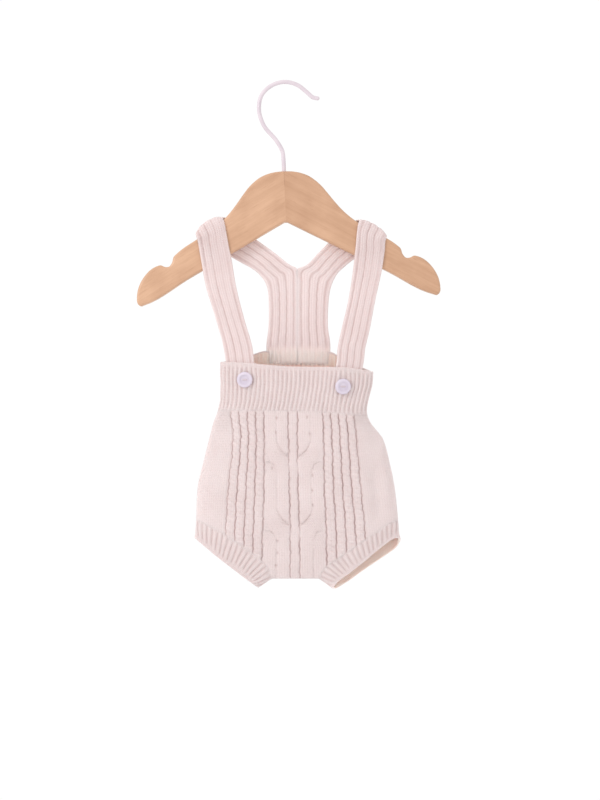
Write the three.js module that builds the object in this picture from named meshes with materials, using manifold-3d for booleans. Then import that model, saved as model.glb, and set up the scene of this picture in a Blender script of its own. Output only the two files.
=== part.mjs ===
// Knitted baby suspender shorts hanging on a small wooden hanger. Millimetres, +Z up, front towards -Y.
// The origin is where the underside of the hook's crown rests on whatever holds it.
import * as THREE from "three";
import Module from "manifold-3d";
import { mergeVertices } from "three/addons/utils/BufferGeometryUtils.js";

const { Vector2, Vector3 } = THREE;

// ---- driving dimensions -------------------------------------------------------------------
const SEAM = 0.4;                 // gap between two sewn pieces
const WALL = 2.2;                 // plain knit of the panels, bands and cuffs
const ROUNDNESS = 2.6;            // exponent of the flattened section of the body
const RIB_UP = 0.6;               // how far a band or cuff rib stands out
const INSIDE_RIB_UP = 0.42;       // and how far one does on the inside of the back band
const RIB_DOWN = 0.25;            // how far the groove beside it sinks
const BAND_RIBS = 36;             // ribs across the front or the back of the waistband
const BAND_TALL = 46;             // the waistband from its top to its seam
const BAND_ROLL = 4.6;            // plain rolled edge on top of the waistband
const CUFF_RIBS = 36;             // ribs all round one leg cuff
const STRAP_CORE = 0.75;          // half thickness of a strap in its grooves
const STRAP_RIB = 0.55;           // how far each strap rib stands out on either face
const STRAP_CREST = STRAP_CORE + STRAP_RIB;

const HANGER = { halfThick: 6, edgeRound: 2.5, apexX: -1.5, apexZ: -87.2, tilt: 2.2 };
const WIRE_RADIUS = 2.1;
const BUTTON = { radius: 7.8, thick: 2.8, dishRadius: 4.7, dishDepth: 0.9, holeRadius: 0.9, holeOut: 2.4 };

const COLOUR = { knit: 0xeedbd7, wood: 0xdcb08c, wire: 0xe9e2e6, button: 0xe7dde6 };

// ---- sizes of the body, by height ---------------------------------------------------------
// left, right: side edges; depth: half the thickness of the hanging shorts
const bodySections = [
  { z: -262, left: -64.2, right: 87.4, depth: 12.6 },
  { z: -284, left: -64.8, right: 87.2, depth: 12.8 },
  { z: -299, left: -64.2, right: 85.9, depth: 13.0 },
  { z: -312, left: -64.6, right: 82.6, depth: 13.2 },
  { z: -325, left: -67.4, right: 80.5, depth: 13.6 },
  { z: -335, left: -71.2, right: 83.8, depth: 14.4 },
  { z: -353, left: -76.0, right: 97.0, depth: 16.4 },
  { z: -373, left: -81.0, right: 102.8, depth: 18.0 },
  { z: -403, left: -87.6, right: 108.8, depth: 18.6 },
  { z: -433, left: -89.0, right: 112.0, depth: 17.6 },
  { z: -452, left: -90.0, right: 114.0, depth: 15.6 },
  { z: -470, left: -90.0, right: 115.0, depth: 11.4 },
  { z: -483, left: -90.0, right: 115.0, depth: 7.2 },
  { z: -487.5, left: -90.0, right: 115.0, depth: 5.6 },
  { z: -490.4, left: -90.0, right: 115.0, depth: 3.4 },
  { z: -491.6, left: -90.0, right: 115.0, depth: 0.4 },
];
// where the rib groups and the centre column of the front run, by height
const frontLines = [
  { z: -328, ribsA: -53.8, cableA: -21.5, centreA: 2.5, centreB: 12.0, cableB: 36.9, ribsB: 68.0 },
  { z: -351, ribsA: -51.7, cableA: -20.9, centreA: 3.2, centreB: 11.9, cableB: 38.0, ribsB: 70.0 },
  { z: -402, ribsA: -56.3, cableA: -21.1, centreA: 4.1, centreB: 12.6, cableB: 38.6, ribsB: 74.5 },
  { z: -440, ribsA: -58.6, cableA: -22.4, centreA: 5.0, centreB: 13.9, cableB: 40.5, ribsB: 78.3 },
  { z: -491, ribsA: -60.0, cableA: -24.0, centreA: 5.0, centreB: 14.4, cableB: 41.2, ribsB: 82.0 },
];
// the lines between the front's parts: plain side, ribs, cable, centre column, cable, ribs, plain side
const LINES = ["left", "ribsA", "cableA", "centreA", "centreB", "cableB", "ribsB", "right"];
const PART = { leftRibs: 1, leftCable: 2, centre: 3, rightCable: 4, rightRibs: 5 };

// the lower edge of the panels: leg seam, crotch fold, leg seam
const CROTCH = { left: -13.4, right: 33.3, z: -491.5 };
const lowerEdge = [
  { x: -90.0, z: -431.8 }, { x: -74.5, z: -438.6 }, { x: -64.4, z: -444.0 }, { x: -49.8, z: -453.5 },
  { x: -30.8, z: -467.0 }, { x: -23.3, z: -473.4 }, { x: -18.0, z: -479.0 }, { x: -15.2, z: -484.5 },
  { x: CROTCH.left, z: CROTCH.z }, { x: CROTCH.right, z: CROTCH.z }, { x: 36.0, z: -484.0 },
  { x: 42.0, z: -477.5 }, { x: 52.8, z: -470.5 }, { x: 72.4, z: -456.6 }, { x: 88.9, z: -445.3 },
  { x: 100.8, z: -437.2 }, { x: 113.0, z: -431.8 },
];
const RIGHT_BACK_DROP = 5;        // the back of the right leg hangs this much lower
const HIP_Z = -432;               // where the leg seams reach the sides
const WAIST_Z = -325;

// top and bottom edges of the waistband, across its width (-1 left side seam, 1 right side seam)
const bandEdges = [
  { across: -1.0, frontTop: -276.0, frontBottom: -324.0, backTop: -276.4, backBottom: -324.4 },
  { across: -0.6, frontTop: -277.4, frontBottom: -324.2, backTop: -268.8, backBottom: -317.0 },
  { across: -0.42, frontTop: -279.0, frontBottom: -324.4, backTop: -264.8, backBottom: -314.0 },
  { across: 0.0, frontTop: -281.0, frontBottom: -324.6, backTop: -264.2, backBottom: -311.6 },
  { across: 0.44, frontTop: -281.4, frontBottom: -325.6, backTop: -265.8, backBottom: -315.4 },
  { across: 0.6, frontTop: -281.6, frontBottom: -326.4, backTop: -272.6, backBottom: -318.5 },
  { across: 1.0, frontTop: -285.4, frontBottom: -329.4, backTop: -285.8, backBottom: -329.8 },
];

// ---- small helpers ------------------------------------------------------------------------
const clamp = (v, lo, hi) => Math.min(hi, Math.max(lo, v));
const mix = (a, b, t) => a + (b - a) * t;
const smooth = (t) => { const c = clamp(t, 0, 1); return c * c * (3 - 2 * c); };
const steps = (n, from = 0, to = 1) => Array.from({ length: n + 1 }, (_, i) => mix(from, to, i / n));

// a smooth curve through the rows of a table that never overshoots them
function curveThrough(rows, key, value) {
  const sorted = [...rows].sort((a, b) => a[key] - b[key]);
  const x = sorted.map((row) => row[key]);
  const y = sorted.map((row) => row[value]);
  const slope = x.slice(1).map((v, i) => (y[i + 1] - y[i]) / (v - x[i]));
  const tangent = x.map((_, i) => {
    if (i === 0) return slope[0];
    if (i === x.length - 1) return slope[i - 1];
    if (slope[i - 1] * slope[i] <= 0) return 0;
    return (2 * slope[i - 1] * slope[i]) / (slope[i - 1] + slope[i]);
  });
  return (at) => {
    const v = clamp(at, x[0], x[x.length - 1]);
    let i = 0;
    while (i < x.length - 2 && v > x[i + 1]) i += 1;
    const h = x[i + 1] - x[i];
    const t = (v - x[i]) / h;
    const t2 = t * t;
    const t3 = t2 * t;
    return (2 * t3 - 3 * t2 + 1) * y[i] + (t3 - 2 * t2 + t) * h * tangent[i]
      + (3 * t2 - 2 * t3) * y[i + 1] + (t3 - t2) * h * tangent[i + 1];
  };
}

const leftAt = curveThrough(bodySections, "z", "left");
const rightAt = curveThrough(bodySections, "z", "right");
const depthAt = curveThrough(bodySections, "z", "depth");
const lineAt = { left: leftAt, right: rightAt };
for (const name of LINES.slice(1, -1)) lineAt[name] = curveThrough(frontLines, "z", name);
const lowerEdgeAt = curveThrough(lowerEdge, "x", "z");
const bandEdgeAt = {};
for (const name of ["frontTop", "frontBottom", "backTop", "backBottom"]) {
  bandEdgeAt[name] = curveThrough(bandEdges, "across", name);
}

// ---- the flattened tube that all the body pieces follow -----------------------------------
const centreAt = (z) => (leftAt(z) + rightAt(z)) / 2;
const halfWidthAt = (z) => (rightAt(z) - leftAt(z)) / 2;
const acrossAt = (x, z) => clamp((x - centreAt(z)) / halfWidthAt(z), -1, 1);

function bodyLevel(x, y, z) {
  return Math.abs((x - centreAt(z)) / halfWidthAt(z)) ** ROUNDNESS + Math.abs(y / depthAt(z)) ** ROUNDNESS;
}

// a point of the body's surface and the way out of the cloth there; side is -1 in front, 1 behind
function bodyPoint(x, z, side) {
  const across = acrossAt(x, z);
  const y = side * Math.max(SEAM / 2, depthAt(z) * (1 - Math.abs(across) ** ROUNDNESS) ** (1 / ROUNDNESS));
  const e = 0.05;
  const normal = new Vector3(
    bodyLevel(x + e, y, z) - bodyLevel(x - e, y, z),
    bodyLevel(x, y + e, z) - bodyLevel(x, y - e, z),
    bodyLevel(x, y, z + e) - bodyLevel(x, y, z - e),
  ).normalize();
  return { point: new Vector3(x, y, z), normal };
}

// ---- closed walls -------------------------------------------------------------------------
function toMesh(name, vertices, triangles, material) {
  const geometry = new THREE.BufferGeometry();
  const positions = vertices.flatMap((v) => [v.x, v.y, v.z]);
  geometry.setAttribute("position", new THREE.Float32BufferAttribute(positions, 3));
  let volume = 0;
  for (const [a, b, c] of triangles) {
    volume += vertices[a].dot(new Vector3().crossVectors(vertices[b], vertices[c]));
  }
  geometry.setIndex(triangles.flatMap(([a, b, c]) => (volume > 0 ? [a, b, c] : [a, c, b])));
  geometry.computeVertexNormals();
  const mesh = new THREE.Mesh(geometry, material);
  mesh.name = name;
  return mesh;
}

// triangles between two rows of vertices whose places along the row are known
function zip(triangles, rowA, placeA, rowB, placeB) {
  let i = 0;
  let j = 0;
  while (i < rowA.length - 1 || j < rowB.length - 1) {
    const nextA = i < rowA.length - 1 ? placeA[i + 1] : Infinity;
    const nextB = j < rowB.length - 1 ? placeB[j + 1] : Infinity;
    if (nextA <= nextB) {
      triangles.push([rowA[i], rowA[i + 1], rowB[j]]);
      i += 1;
    } else {
      triangles.push([rowA[i], rowB[j + 1], rowB[j]]);
      j += 1;
    }
  }
}

// A wall between a ribbed outer grid and a coarser inner one. outer and inner are grids of points,
// [row][column]; columns and rows say where each lies from 0 to 1. A ring's columns close up.
function wall(name, material, outer, inner, places, ring = false) {
  const vertices = [];
  const triangles = [];
  const keep = (grid) => grid.map((row) => row.map((point) => vertices.push(point) - 1));
  const out = keep(outer);
  const inn = keep(inner);
  const quads = (grid, flip) => {
    for (let r = 0; r < grid.length - 1; r += 1) {
      const count = ring ? grid[r].length : grid[r].length - 1;
      for (let c = 0; c < count; c += 1) {
        const d = (c + 1) % grid[r].length;
        const corners = [grid[r][c], grid[r + 1][c], grid[r + 1][d], grid[r][d]];
        if (flip) corners.reverse();
        triangles.push([corners[0], corners[1], corners[2]], [corners[0], corners[2], corners[3]]);
      }
    }
  };
  quads(out, false);
  quads(inn, true);
  const close = (row) => (ring ? [...row, row[0]] : row);
  const placesOf = (list) => (ring ? [...list, 1] : list);
  const outColumns = placesOf(places.outColumns);
  const inColumns = placesOf(places.inColumns);
  const last = (grid) => grid[grid.length - 1];
  zip(triangles, close(out[0]), outColumns, close(inn[0]), inColumns);
  zip(triangles, [...close(last(inn))], inColumns, [...close(last(out))], outColumns);
  if (!ring) {
    const column = (grid, c) => grid.map((row) => row[c < 0 ? row.length - 1 : c]);
    zip(triangles, column(inn, 0), places.inRows, column(out, 0), places.outRows);
    zip(triangles, column(out, -1), places.outRows, column(inn, -1), places.inRows);
  }
  return toMesh(name, vertices, triangles, material);
}

const moved = (spot, distance) => spot.point.clone().addScaledVector(spot.normal, distance);

// ---- front and back panels ----------------------------------------------------------------
// a place across the front: the whole part counts the named lines, the rest goes on to the next
function lineX(place, z) {
  const i = clamp(Math.floor(place), 0, LINES.length - 2);
  return mix(lineAt[LINES[i]](z), lineAt[LINES[i + 1]](z), place - i);
}

function lowerEdgeOf(x, side) {
  const z = lowerEdgeAt(x);
  const along = (x - CROTCH.right) / (rightAt(HIP_Z) - CROTCH.right);
  return side > 0 && along > 0 ? z - RIGHT_BACK_DROP * Math.sin(Math.PI * clamp(along, 0, 1)) : z;
}

function panelSpot(place, down, side) {
  const top = side < 0 ? "frontBottom" : "backBottom";
  let low = HIP_Z;
  for (let i = 0; i < 7; i += 1) low = lowerEdgeOf(lineX(place, low), side);
  let high = WAIST_Z;
  for (let i = 0; i < 6; i += 1) high = bandEdgeAt[top](acrossAt(lineX(place, high), high)) - SEAM;
  const z = mix(high, low, down);
  return { ...bodyPoint(lineX(place, z), z, side), place, z };
}

// The two strands of a cable, 0 beside the ribs and 1 beside the centre; each in turn crosses over
// the other. at: its middle, half: half its width, high: how far it lies over plain knit.
const strands = [
  [
    { z: -326, at: 0.25, half: 0.24, high: 0 }, { z: -352, at: 0.25, half: 0.24, high: 0 },
    { z: -359, at: 0.32, half: 0.25, high: 0.35 }, { z: -366, at: 0.47, half: 0.27, high: 0.6 },
    { z: -373, at: 0.63, half: 0.27, high: 0.65 }, { z: -379, at: 0.72, half: 0.26, high: 0.5 },
    { z: -387, at: 0.76, half: 0.25, high: 0.2 }, { z: -400, at: 0.76, half: 0.25, high: 0.1 },
    { z: -422, at: 0.76, half: 0.25, high: 0.05 }, { z: -432, at: 0.74, half: 0.24, high: -0.1 },
    { z: -440, at: 0.62, half: 0.24, high: -0.35 }, { z: -448, at: 0.44, half: 0.24, high: -0.4 },
    { z: -456, at: 0.3, half: 0.24, high: -0.1 }, { z: -464, at: 0.25, half: 0.24, high: 0 },
    { z: -491, at: 0.25, half: 0.24, high: 0 },
  ],
  [
    { z: -326, at: 0.76, half: 0.25, high: 0.1 }, { z: -354, at: 0.76, half: 0.25, high: 0.05 },
    { z: -364, at: 0.74, half: 0.24, high: -0.1 }, { z: -371, at: 0.64, half: 0.24, high: -0.35 },
    { z: -378, at: 0.46, half: 0.24, high: -0.4 }, { z: -385, at: 0.32, half: 0.24, high: -0.15 },
    { z: -392, at: 0.26, half: 0.24, high: 0 }, { z: -419, at: 0.25, half: 0.24, high: 0 },
    { z: -426, at: 0.32, half: 0.25, high: 0.35 }, { z: -433, at: 0.47, half: 0.27, high: 0.6 },
    { z: -440, at: 0.63, half: 0.27, high: 0.65 }, { z: -446, at: 0.72, half: 0.26, high: 0.5 },
    { z: -454, at: 0.76, half: 0.25, high: 0.2 }, { z: -466, at: 0.76, half: 0.25, high: 0.1 },
    { z: -491, at: 0.76, half: 0.25, high: 0 },
  ],
];
const strandPaths = strands.map((rows) => ({
  at: curveThrough(rows, "z", "at"),
  half: curveThrough(rows, "z", "half"),
  high: curveThrough(rows, "z", "high"),
}));
const STRAND_ROUND = 0.55;        // how far a strand's middle stands above its edges
const STRAND_POWER = 2.5;         // and how flat it is across
const STRAND_LOWEST = -0.1;
const STRAND_BASE = 0.1;
const CREASE = { deep: 0.5, wide: 0.35 };    // between the two strands

function cableRelief(at, z) {
  const [first, second] = strandPaths.map((path) => path.high(z)
    + STRAND_ROUND * (1 - Math.abs((at - path.at(z)) / path.half(z)) ** STRAND_POWER));
  const crease = Math.exp(-(((first - second) / CREASE.wide) ** 2));
  return Math.max(first, second, STRAND_LOWEST) + STRAND_BASE - CREASE.deep * crease;
}

const RIBS_PER_GROUP = 4;
// edge: share of a rib taken by its groove; flat and side: exponents of its round section
const RIB = { crest: 0.75, groove: -0.75, edge: 0.1, flat: 2.6, side: 0.6 };
const TWIST = { pitch: 15.6, sway: 0.12 };   // the twisted ribs swell and slack along their length
const COLUMN = { crest: 0.5, edge: 0.05 };
const CABLE_EDGE = 0.02;

function frontRelief({ place, z }) {
  const i = clamp(Math.floor(place), 0, LINES.length - 2);
  const part = place - i;
  if (i === PART.leftRibs || i === PART.rightRibs) {
    const within = (part * RIBS_PER_GROUP) % 1;
    if (within < RIB.edge || within > 1 - RIB.edge) return RIB.groove;
    const round = (1 - Math.abs(2 * within - 1) ** RIB.flat) ** RIB.side;
    return RIB.crest * round + TWIST.sway * Math.sin((2 * Math.PI * z) / TWIST.pitch);
  }
  if (i === PART.centre) {
    return part < COLUMN.edge || part > 1 - COLUMN.edge ? RIB.groove : COLUMN.crest;
  }
  if (i !== PART.leftCable && i !== PART.rightCable) return 0;
  const fromRibs = i === PART.leftCable ? part : 1 - part;
  return fromRibs < CABLE_EDGE || fromRibs > 1 - CABLE_EDGE ? RIB.groove : cableRelief(fromRibs, z);
}

const sideParts = [0, 0.03, 0.1, 0.24, 0.45, 0.72];
const ribParts = [0.13, 0.5, 0.87, 1];
const leftCableParts = [0.06, 0.18, 0.32, 0.43, 0.5, 0.58, 0.7, 0.83, 0.94];
const rightCableParts = [0.94, 0.83, 0.7, 0.58, 0.5, 0.43, 0.32, 0.18, 0.06];
const centreParts = [0.13, 0.87, 1];

function frontColumns() {
  const columns = [...sideParts, 1];
  for (let rib = 0; rib < RIBS_PER_GROUP; rib += 1) {
    for (const part of ribParts) columns.push(1 + (rib + part) / RIBS_PER_GROUP);
  }
  for (const part of [...leftCableParts, 1]) columns.push(2 + part);
  for (const part of centreParts) columns.push(3 + part);
  for (const part of rightCableParts) columns.push(5 - part);
  columns.push(5);
  for (let rib = 0; rib < RIBS_PER_GROUP; rib += 1) {
    for (const part of ribParts) columns.push(5 + (rib + part) / RIBS_PER_GROUP);
  }
  for (const part of [...sideParts].reverse()) columns.push(7 - part);
  return columns;
}

const lowRows = [0.955, 0.982, 0.994, 1];    // close together where the crotch turns under
const frontRows = [...steps(28, 0, 0.92), ...lowRows];
const plainRows = [...steps(9, 0, 0.92), ...lowRows];
const plainColumns = [0, 0.03, 0.1, 0.24, 0.6, 1, 1.5, 2, 2.24, 2.36, 2.6, 3.5, 4.46, 4.705, 4.8, 5, 5.5, 6,
  6.4, 6.76, 6.9, 6.97, 7];

function panel(name, side, columns, rows, relief, material) {
  const spots = rows.map((down) => columns.map((place) => panelSpot(place, down, side)));
  const innerSpots = plainRows.map((down) => plainColumns.map((place) => panelSpot(place, down, side)));
  const rim = (c, count) => (c === 0 || c === count - 1 ? 0 : 1);
  const outer = spots.map((row, r) => row.map((spot, c) => moved(spot,
    r === 0 || r === rows.length - 1 ? Math.min(0, relief(spot)) : relief(spot) * rim(c, row.length))));
  const inner = innerSpots.map((row) => row.map((spot) => moved(spot, -WALL)));
  for (const point of [...outer.flat(), ...inner.flat()]) {
    point.y = side * Math.max(side * point.y, SEAM / 2);
  }
  const places = { outColumns: columns, inColumns: plainColumns, outRows: rows, inRows: plainRows };
  const mesh = wall(name, material, outer, inner, places);
  const edge = spots[spots.length - 1].map((spot) => ({ point: spot.point, normal: spot.normal }));
  return { mesh, edge };
}

// ---- waistband ----------------------------------------------------------------------------
// a place along the band in angle, so that its ribs keep their width round the sides
function bandSpot(place, down, side) {
  const turn = (place - 0.5) * Math.PI;
  const round = (v) => Math.sign(v) * Math.abs(v) ** (2 / ROUNDNESS);
  const across = round(Math.sin(turn));
  const names = side < 0 ? ["frontTop", "frontBottom"] : ["backTop", "backBottom"];
  const z = mix(bandEdgeAt[names[0]](across), bandEdgeAt[names[1]](across), down);
  return bodyPoint(centreAt(z) + across * halfWidthAt(z), z, side);
}

// equal steps along the middle of the band
function evenPlaces(count, side) {
  const fine = steps(600);
  const points = fine.map((place) => bandSpot(place, 0.5, side).point);
  const along = [0];
  for (let i = 1; i < points.length; i += 1) along.push(along[i - 1] + points[i].distanceTo(points[i - 1]));
  let at = 0;
  return steps(count, 0, along[along.length - 1]).map((length) => {
    while (at < along.length - 2 && along[at + 1] < length) at += 1;
    const part = (length - along[at]) / (along[at + 1] - along[at]);
    return mix(fine[at], fine[at + 1], clamp(part, 0, 1));
  });
}

function waistband(name, side, ribsInside, material) {
  const places = evenPlaces(BAND_RIBS * 2, side);
  const rollEnd = BAND_ROLL / BAND_TALL;
  const rows = [0, rollEnd * 0.45, rollEnd * 0.9, rollEnd * 1.15, 0.55, 1];
  const ribs = [0, 0, 0, 1, 1, 1];
  const roll = [-0.2, 0.55, 0.3, 0, 0, 0];
  const height = (r, c) => {
    if (c === 0 || c === places.length - 1) return Math.max(0, roll[r]) * 0.5;
    return roll[r] + ribs[r] * (c % 2 === 1 ? RIB_UP : -RIB_DOWN);
  };
  const outer = rows.map((down, r) => places.map((place, c) =>
    moved(bandSpot(place, down, side), height(r, c))));
  const insideColumns = ribsInside ? places : places.filter((_, c) => c % 2 === 0);
  const insideRows = [0, rollEnd, 1];
  const depth = (r, c) => (ribsInside && r > 0 && c % 2 === 1 && c < places.length - 1 ? INSIDE_RIB_UP : 0);
  const inner = insideRows.map((down, r) => insideColumns.map((place, c) =>
    moved(bandSpot(place, down, side), -WALL - depth(r, c))));
  return wall(name, material, outer, inner, {
    outColumns: places, inColumns: insideColumns, outRows: rows, inRows: insideRows,
  });
}

// ---- leg cuffs ----------------------------------------------------------------------------
// hem corners at the hip and at the crotch, and how far the hem lifts over the line between them
const cuffs = {
  left: {
    hipX: -90.2, hipZ: -451.0, tipX: -27.2, tipZ: -500.6,
    lift: [
      { f: 0, front: 0, back: 0 }, { f: 0.25, front: -0.4, back: -0.9 }, { f: 0.5, front: -0.6, back: -1.2 },
      { f: 0.75, front: -0.4, back: -0.8 }, { f: 1, front: 0, back: 0 },
    ],
  },
  right: {
    hipX: 114.4, hipZ: -453.0, tipX: 47.4, tipZ: -501.4,
    lift: [
      { f: 0, front: 0, back: 0 }, { f: 0.04, front: 3.8, back: -4.2 }, { f: 0.1, front: 6.5, back: -5.6 },
      { f: 0.17, front: 7.5, back: -5.6 }, { f: 0.36, front: 6.8, back: -5.1 },
      { f: 0.53, front: 5.3, back: -4.5 }, { f: 0.73, front: 4.3, back: -4.3 },
      { f: 0.88, front: 4.0, back: -3.4 }, { f: 0.96, front: 2.9, back: -2.2 },
      { f: 1, front: 0, back: 0 },
    ],
  },
};
const HEM = { depth: 11.1, tipShare: 0.72, roundness: 2.4, lean: 0.07 };   // lean: towards the crotch
const HEM_TURN = 1.6;             // the wall has turned to the hem's own slant this early
const CUFF_SEAM = 0.5;            // gap to the panels, which meet it at a slant
const CUFF_HEM = 0.84;            // the ribs end and the plain hem begins this far down
const EDGE_MATCH = 0.6;           // points this close to the crotch's corner still belong to the leg

function legSeam(frontEdge, backEdge, leg) {
  const inLeg = ({ point }) => (leg === "left"
    ? point.x < CROTCH.left + EDGE_MATCH : point.x > CROTCH.right - EDGE_MATCH);
  const front = frontEdge.filter(inLeg);
  const back = backEdge.filter(inLeg);
  if (leg === "left") return [...front, ...back.reverse()];
  return [...front.reverse(), ...back];
}

function cuff(name, leg, seam, material) {
  const size = cuffs[leg];
  const count = CUFF_RIBS * 2;
  const closed = [...seam, seam[0]];
  const along = [0];
  for (let i = 1; i < closed.length; i += 1) {
    along.push(along[i - 1] + closed[i].point.distanceTo(closed[i - 1].point));
  }
  const total = along[along.length - 1];
  const cornerAt = along[seam.findIndex((spot) => spot.point.y > 0)] / total;
  const seamAt = (t) => {
    const length = t * total;
    let i = 0;
    while (i < along.length - 2 && along[i + 1] < length) i += 1;
    const part = clamp((length - along[i]) / Math.max(1e-6, along[i + 1] - along[i]), 0, 1);
    return {
      point: closed[i].point.clone().lerp(closed[i + 1].point, part),
      normal: closed[i].normal.clone().lerp(closed[i + 1].normal, part).normalize(),
    };
  };
  const liftAt = {
    front: curveThrough(size.lift, "f", "front"), back: curveThrough(size.lift, "f", "back"),
  };
  const hemAt = (t) => {
    const behind = t > cornerAt;
    const along = behind ? (1 - t) / (1 - cornerAt) : t / cornerAt;
    const f = along + HEM.lean * Math.sin(Math.PI * along);
    const x = mix(size.hipX, size.tipX, f);
    const z = mix(size.hipZ, size.tipZ, f) + liftAt[behind ? "back" : "front"](f);
    const round = Math.max(0, 1 - Math.abs(2 * f - 1) ** HEM.roundness) ** (1 / HEM.roundness);
    const y = Math.max(SEAM / 2, HEM.depth * round * mix(1, HEM.tipShare, f));
    return new Vector3(x, behind ? y : -y, z);
  };
  const centre = new Vector3((size.hipX + size.tipX) / 2, 0, (size.hipZ + size.tipZ) / 2);
  const hemNormal = (t) => {
    const tangent = hemAt((t + 0.004) % 1).sub(hemAt((t + 0.996) % 1));
    const fall = hemAt(t).sub(seamAt(t).point);
    const normal = tangent.cross(fall).normalize();
    return normal.dot(hemAt(t).sub(centre)) < 0 ? normal.negate() : normal;
  };
  const spot = (t, v) => {
    const top = seamAt(t);
    const hem = hemAt(t);
    const fall = hem.clone().sub(top.point);
    const along = seamAt((t + 0.003) % 1).point.sub(seamAt((t + 0.997) % 1).point).normalize();
    const slant = along.cross(fall.clone().normalize()).length();
    const gap = CUFF_SEAM / (fall.length() * Math.max(0.5, slant));
    const start = top.point.clone().addScaledVector(fall, gap);
    const normal = top.normal.clone().lerp(hemNormal(t), smooth(v * HEM_TURN)).normalize();
    return { point: start.lerp(hem, v), normal };
  };
  const columns = steps(count).slice(0, -1);
  const rows = [0, 0.42, CUFF_HEM, CUFF_HEM + 0.04, 0.93, 1];
  const ribs = [1, 1, 1, 0, 0, 0];
  const plain = [0, 0, 0, 0.1, 0.45, 0];
  const height = (r, c) => plain[r] + ribs[r] * (c % 2 === 1 ? RIB_UP : -RIB_DOWN);
  const outer = rows.map((v, r) => columns.map((t, c) => moved(spot(t, v), height(r, c))));
  const insideColumns = columns.filter((_, c) => c % 2 === 0);
  const insideRows = [0, 0.5, 1];
  const inner = insideRows.map((v) => insideColumns.map((t) => moved(spot(t, v), -WALL)));
  return wall(name, material, outer, inner, {
    outColumns: columns, inColumns: insideColumns, outRows: rows, inRows: insideRows,
  }, true);
}

// ---- straps -------------------------------------------------------------------------------
// Each strap rises from inside the front band, rolls over the hanger and comes down the back,
// where it turns and runs beside the other one to the back band.
// out: edge away from the centre, in: edge nearer to it; crest: the line over the hanger
const CENTRE_SEAM = 11.8;
const straps = {
  left: {
    front: [
      { z: -309.0, outX: -51.7, inX: -23.3 }, { z: -292.0, outX: -55.8, inX: -27.2 },
      { z: -276.0, outX: -59.1, inX: -30.8 }, { z: -264.0, outX: -61.1, inX: -32.3 },
      { z: -232.0, outX: -69.5, inX: -41.2 }, { z: -199.5, outX: -79.3, inX: -49.2 },
      { z: -176.5, outX: -83.4, inX: -53.0 }, { z: -158.5, outX: -86.6, inX: -56.6 },
    ],
    crest: { outX: -88.7, outZ: -149.2, inX: -61.5, inZ: -132.6 },
    back: [
      { outX: -63.1, outZ: -166.1, inX: -40.2, inZ: -146.2 },
      { outX: -45.2, outZ: -176.5, inX: -28.3, inZ: -154.5 },
      { outX: -33.3, outZ: -183.2, inX: -10.4, inZ: -167.6 },
      { outX: -25.8, outZ: -189.4, inX: 4.5, inZ: -179.2 },
      { outX: -20.9, outZ: -195.6, inX: 11.6, inZ: -183.4 },
      { outX: -17.9, outZ: -204.3, inX: 11.6, inZ: -196.4 },
      { outX: -16.8, outZ: -218.2, inX: 11.6, inZ: -214.3 },
      { outX: -17.2, outZ: -242.1, inX: 11.6, inZ: -240.0 },
      { outX: -19.2, outZ: -260.0, inX: 11.6, inZ: -259.0 },
    ],
  },
  right: {
    front: [
      { z: -309.0, outX: 71.0, inX: 43.2 }, { z: -292.0, outX: 74.4, inX: 47.2 },
      { z: -276.0, outX: 77.6, inX: 50.6 }, { z: -264.0, outX: 79.0, inX: 51.4 },
      { z: -246.0, outX: 83.2, inX: 55.0 }, { z: -216.0, outX: 88.8, inX: 62.0 },
      { z: -184.5, outX: 95.6, inX: 66.9 }, { z: -166.0, outX: 98.4, inX: 69.0 },
    ],
    crest: { outX: 100.2, outZ: -151.6, inX: 72.8, inZ: -135.2 },
    back: [
      { outX: 79.0, outZ: -166.6, inX: 55.1, inZ: -147.7 },
      { outX: 66.1, outZ: -175.2, inX: 43.5, inZ: -156.4 },
      { outX: 57.1, outZ: -182.6, inX: 32.3, inZ: -167.8 },
      { outX: 50.7, outZ: -189.6, inX: 20.4, inZ: -179.6 },
      { outX: 47.0, outZ: -196.6, inX: 12.0, inZ: -183.4 },
      { outX: 44.2, outZ: -206.3, inX: 12.0, inZ: -196.4 },
      { outX: 42.7, outZ: -220.2, inX: 12.0, inZ: -214.3 },
      { outX: 42.5, outZ: -242.0, inX: 12.0, inZ: -240.0 },
      { outX: 44.8, outZ: -260.0, inX: 12.0, inZ: -259.0 },
    ],
  },
};
const STRAP_Y = HANGER.halfThick + 0.3 + STRAP_CREST;
const ROLL_RADIUS = HANGER.edgeRound + 0.3 + STRAP_CREST;
const ROLL_FLAT = HANGER.halfThick - HANGER.edgeRound;
const ROLL_SLIP = { front: 0.15, back: 0.4 };      // how far the strap drifts along the hanger as it rolls
const BULGE = { left: 3.9, right: 3.0 };     // how far its middle arches off the wood at the crest
const ARCH = { down: 0.7, across: 2.2 };     // exponents of how that fades round the roll and across
// the heights over which a strap leaves the hanger's plane for its waistband
const FRONT_SWING = { from: -232, over: 40 };
const BACK_SWING = { from: -186, over: 76 };
const BAND_TOP_Z = -268;

function frontDepth(x, z) {
  const { point, normal } = bodyPoint(x, Math.min(z, BAND_TOP_Z), -1);
  const inBand = point.y + (WALL + SEAM + STRAP_CREST) / Math.abs(normal.y);
  return mix(-STRAP_Y, inBand, smooth((FRONT_SWING.from - z) / FRONT_SWING.over));
}

function backDepth(z) {
  return mix(STRAP_Y, depthAt(BAND_TOP_Z) - WALL / 2, smooth((BACK_SWING.from - z) / BACK_SWING.over));
}

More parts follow.
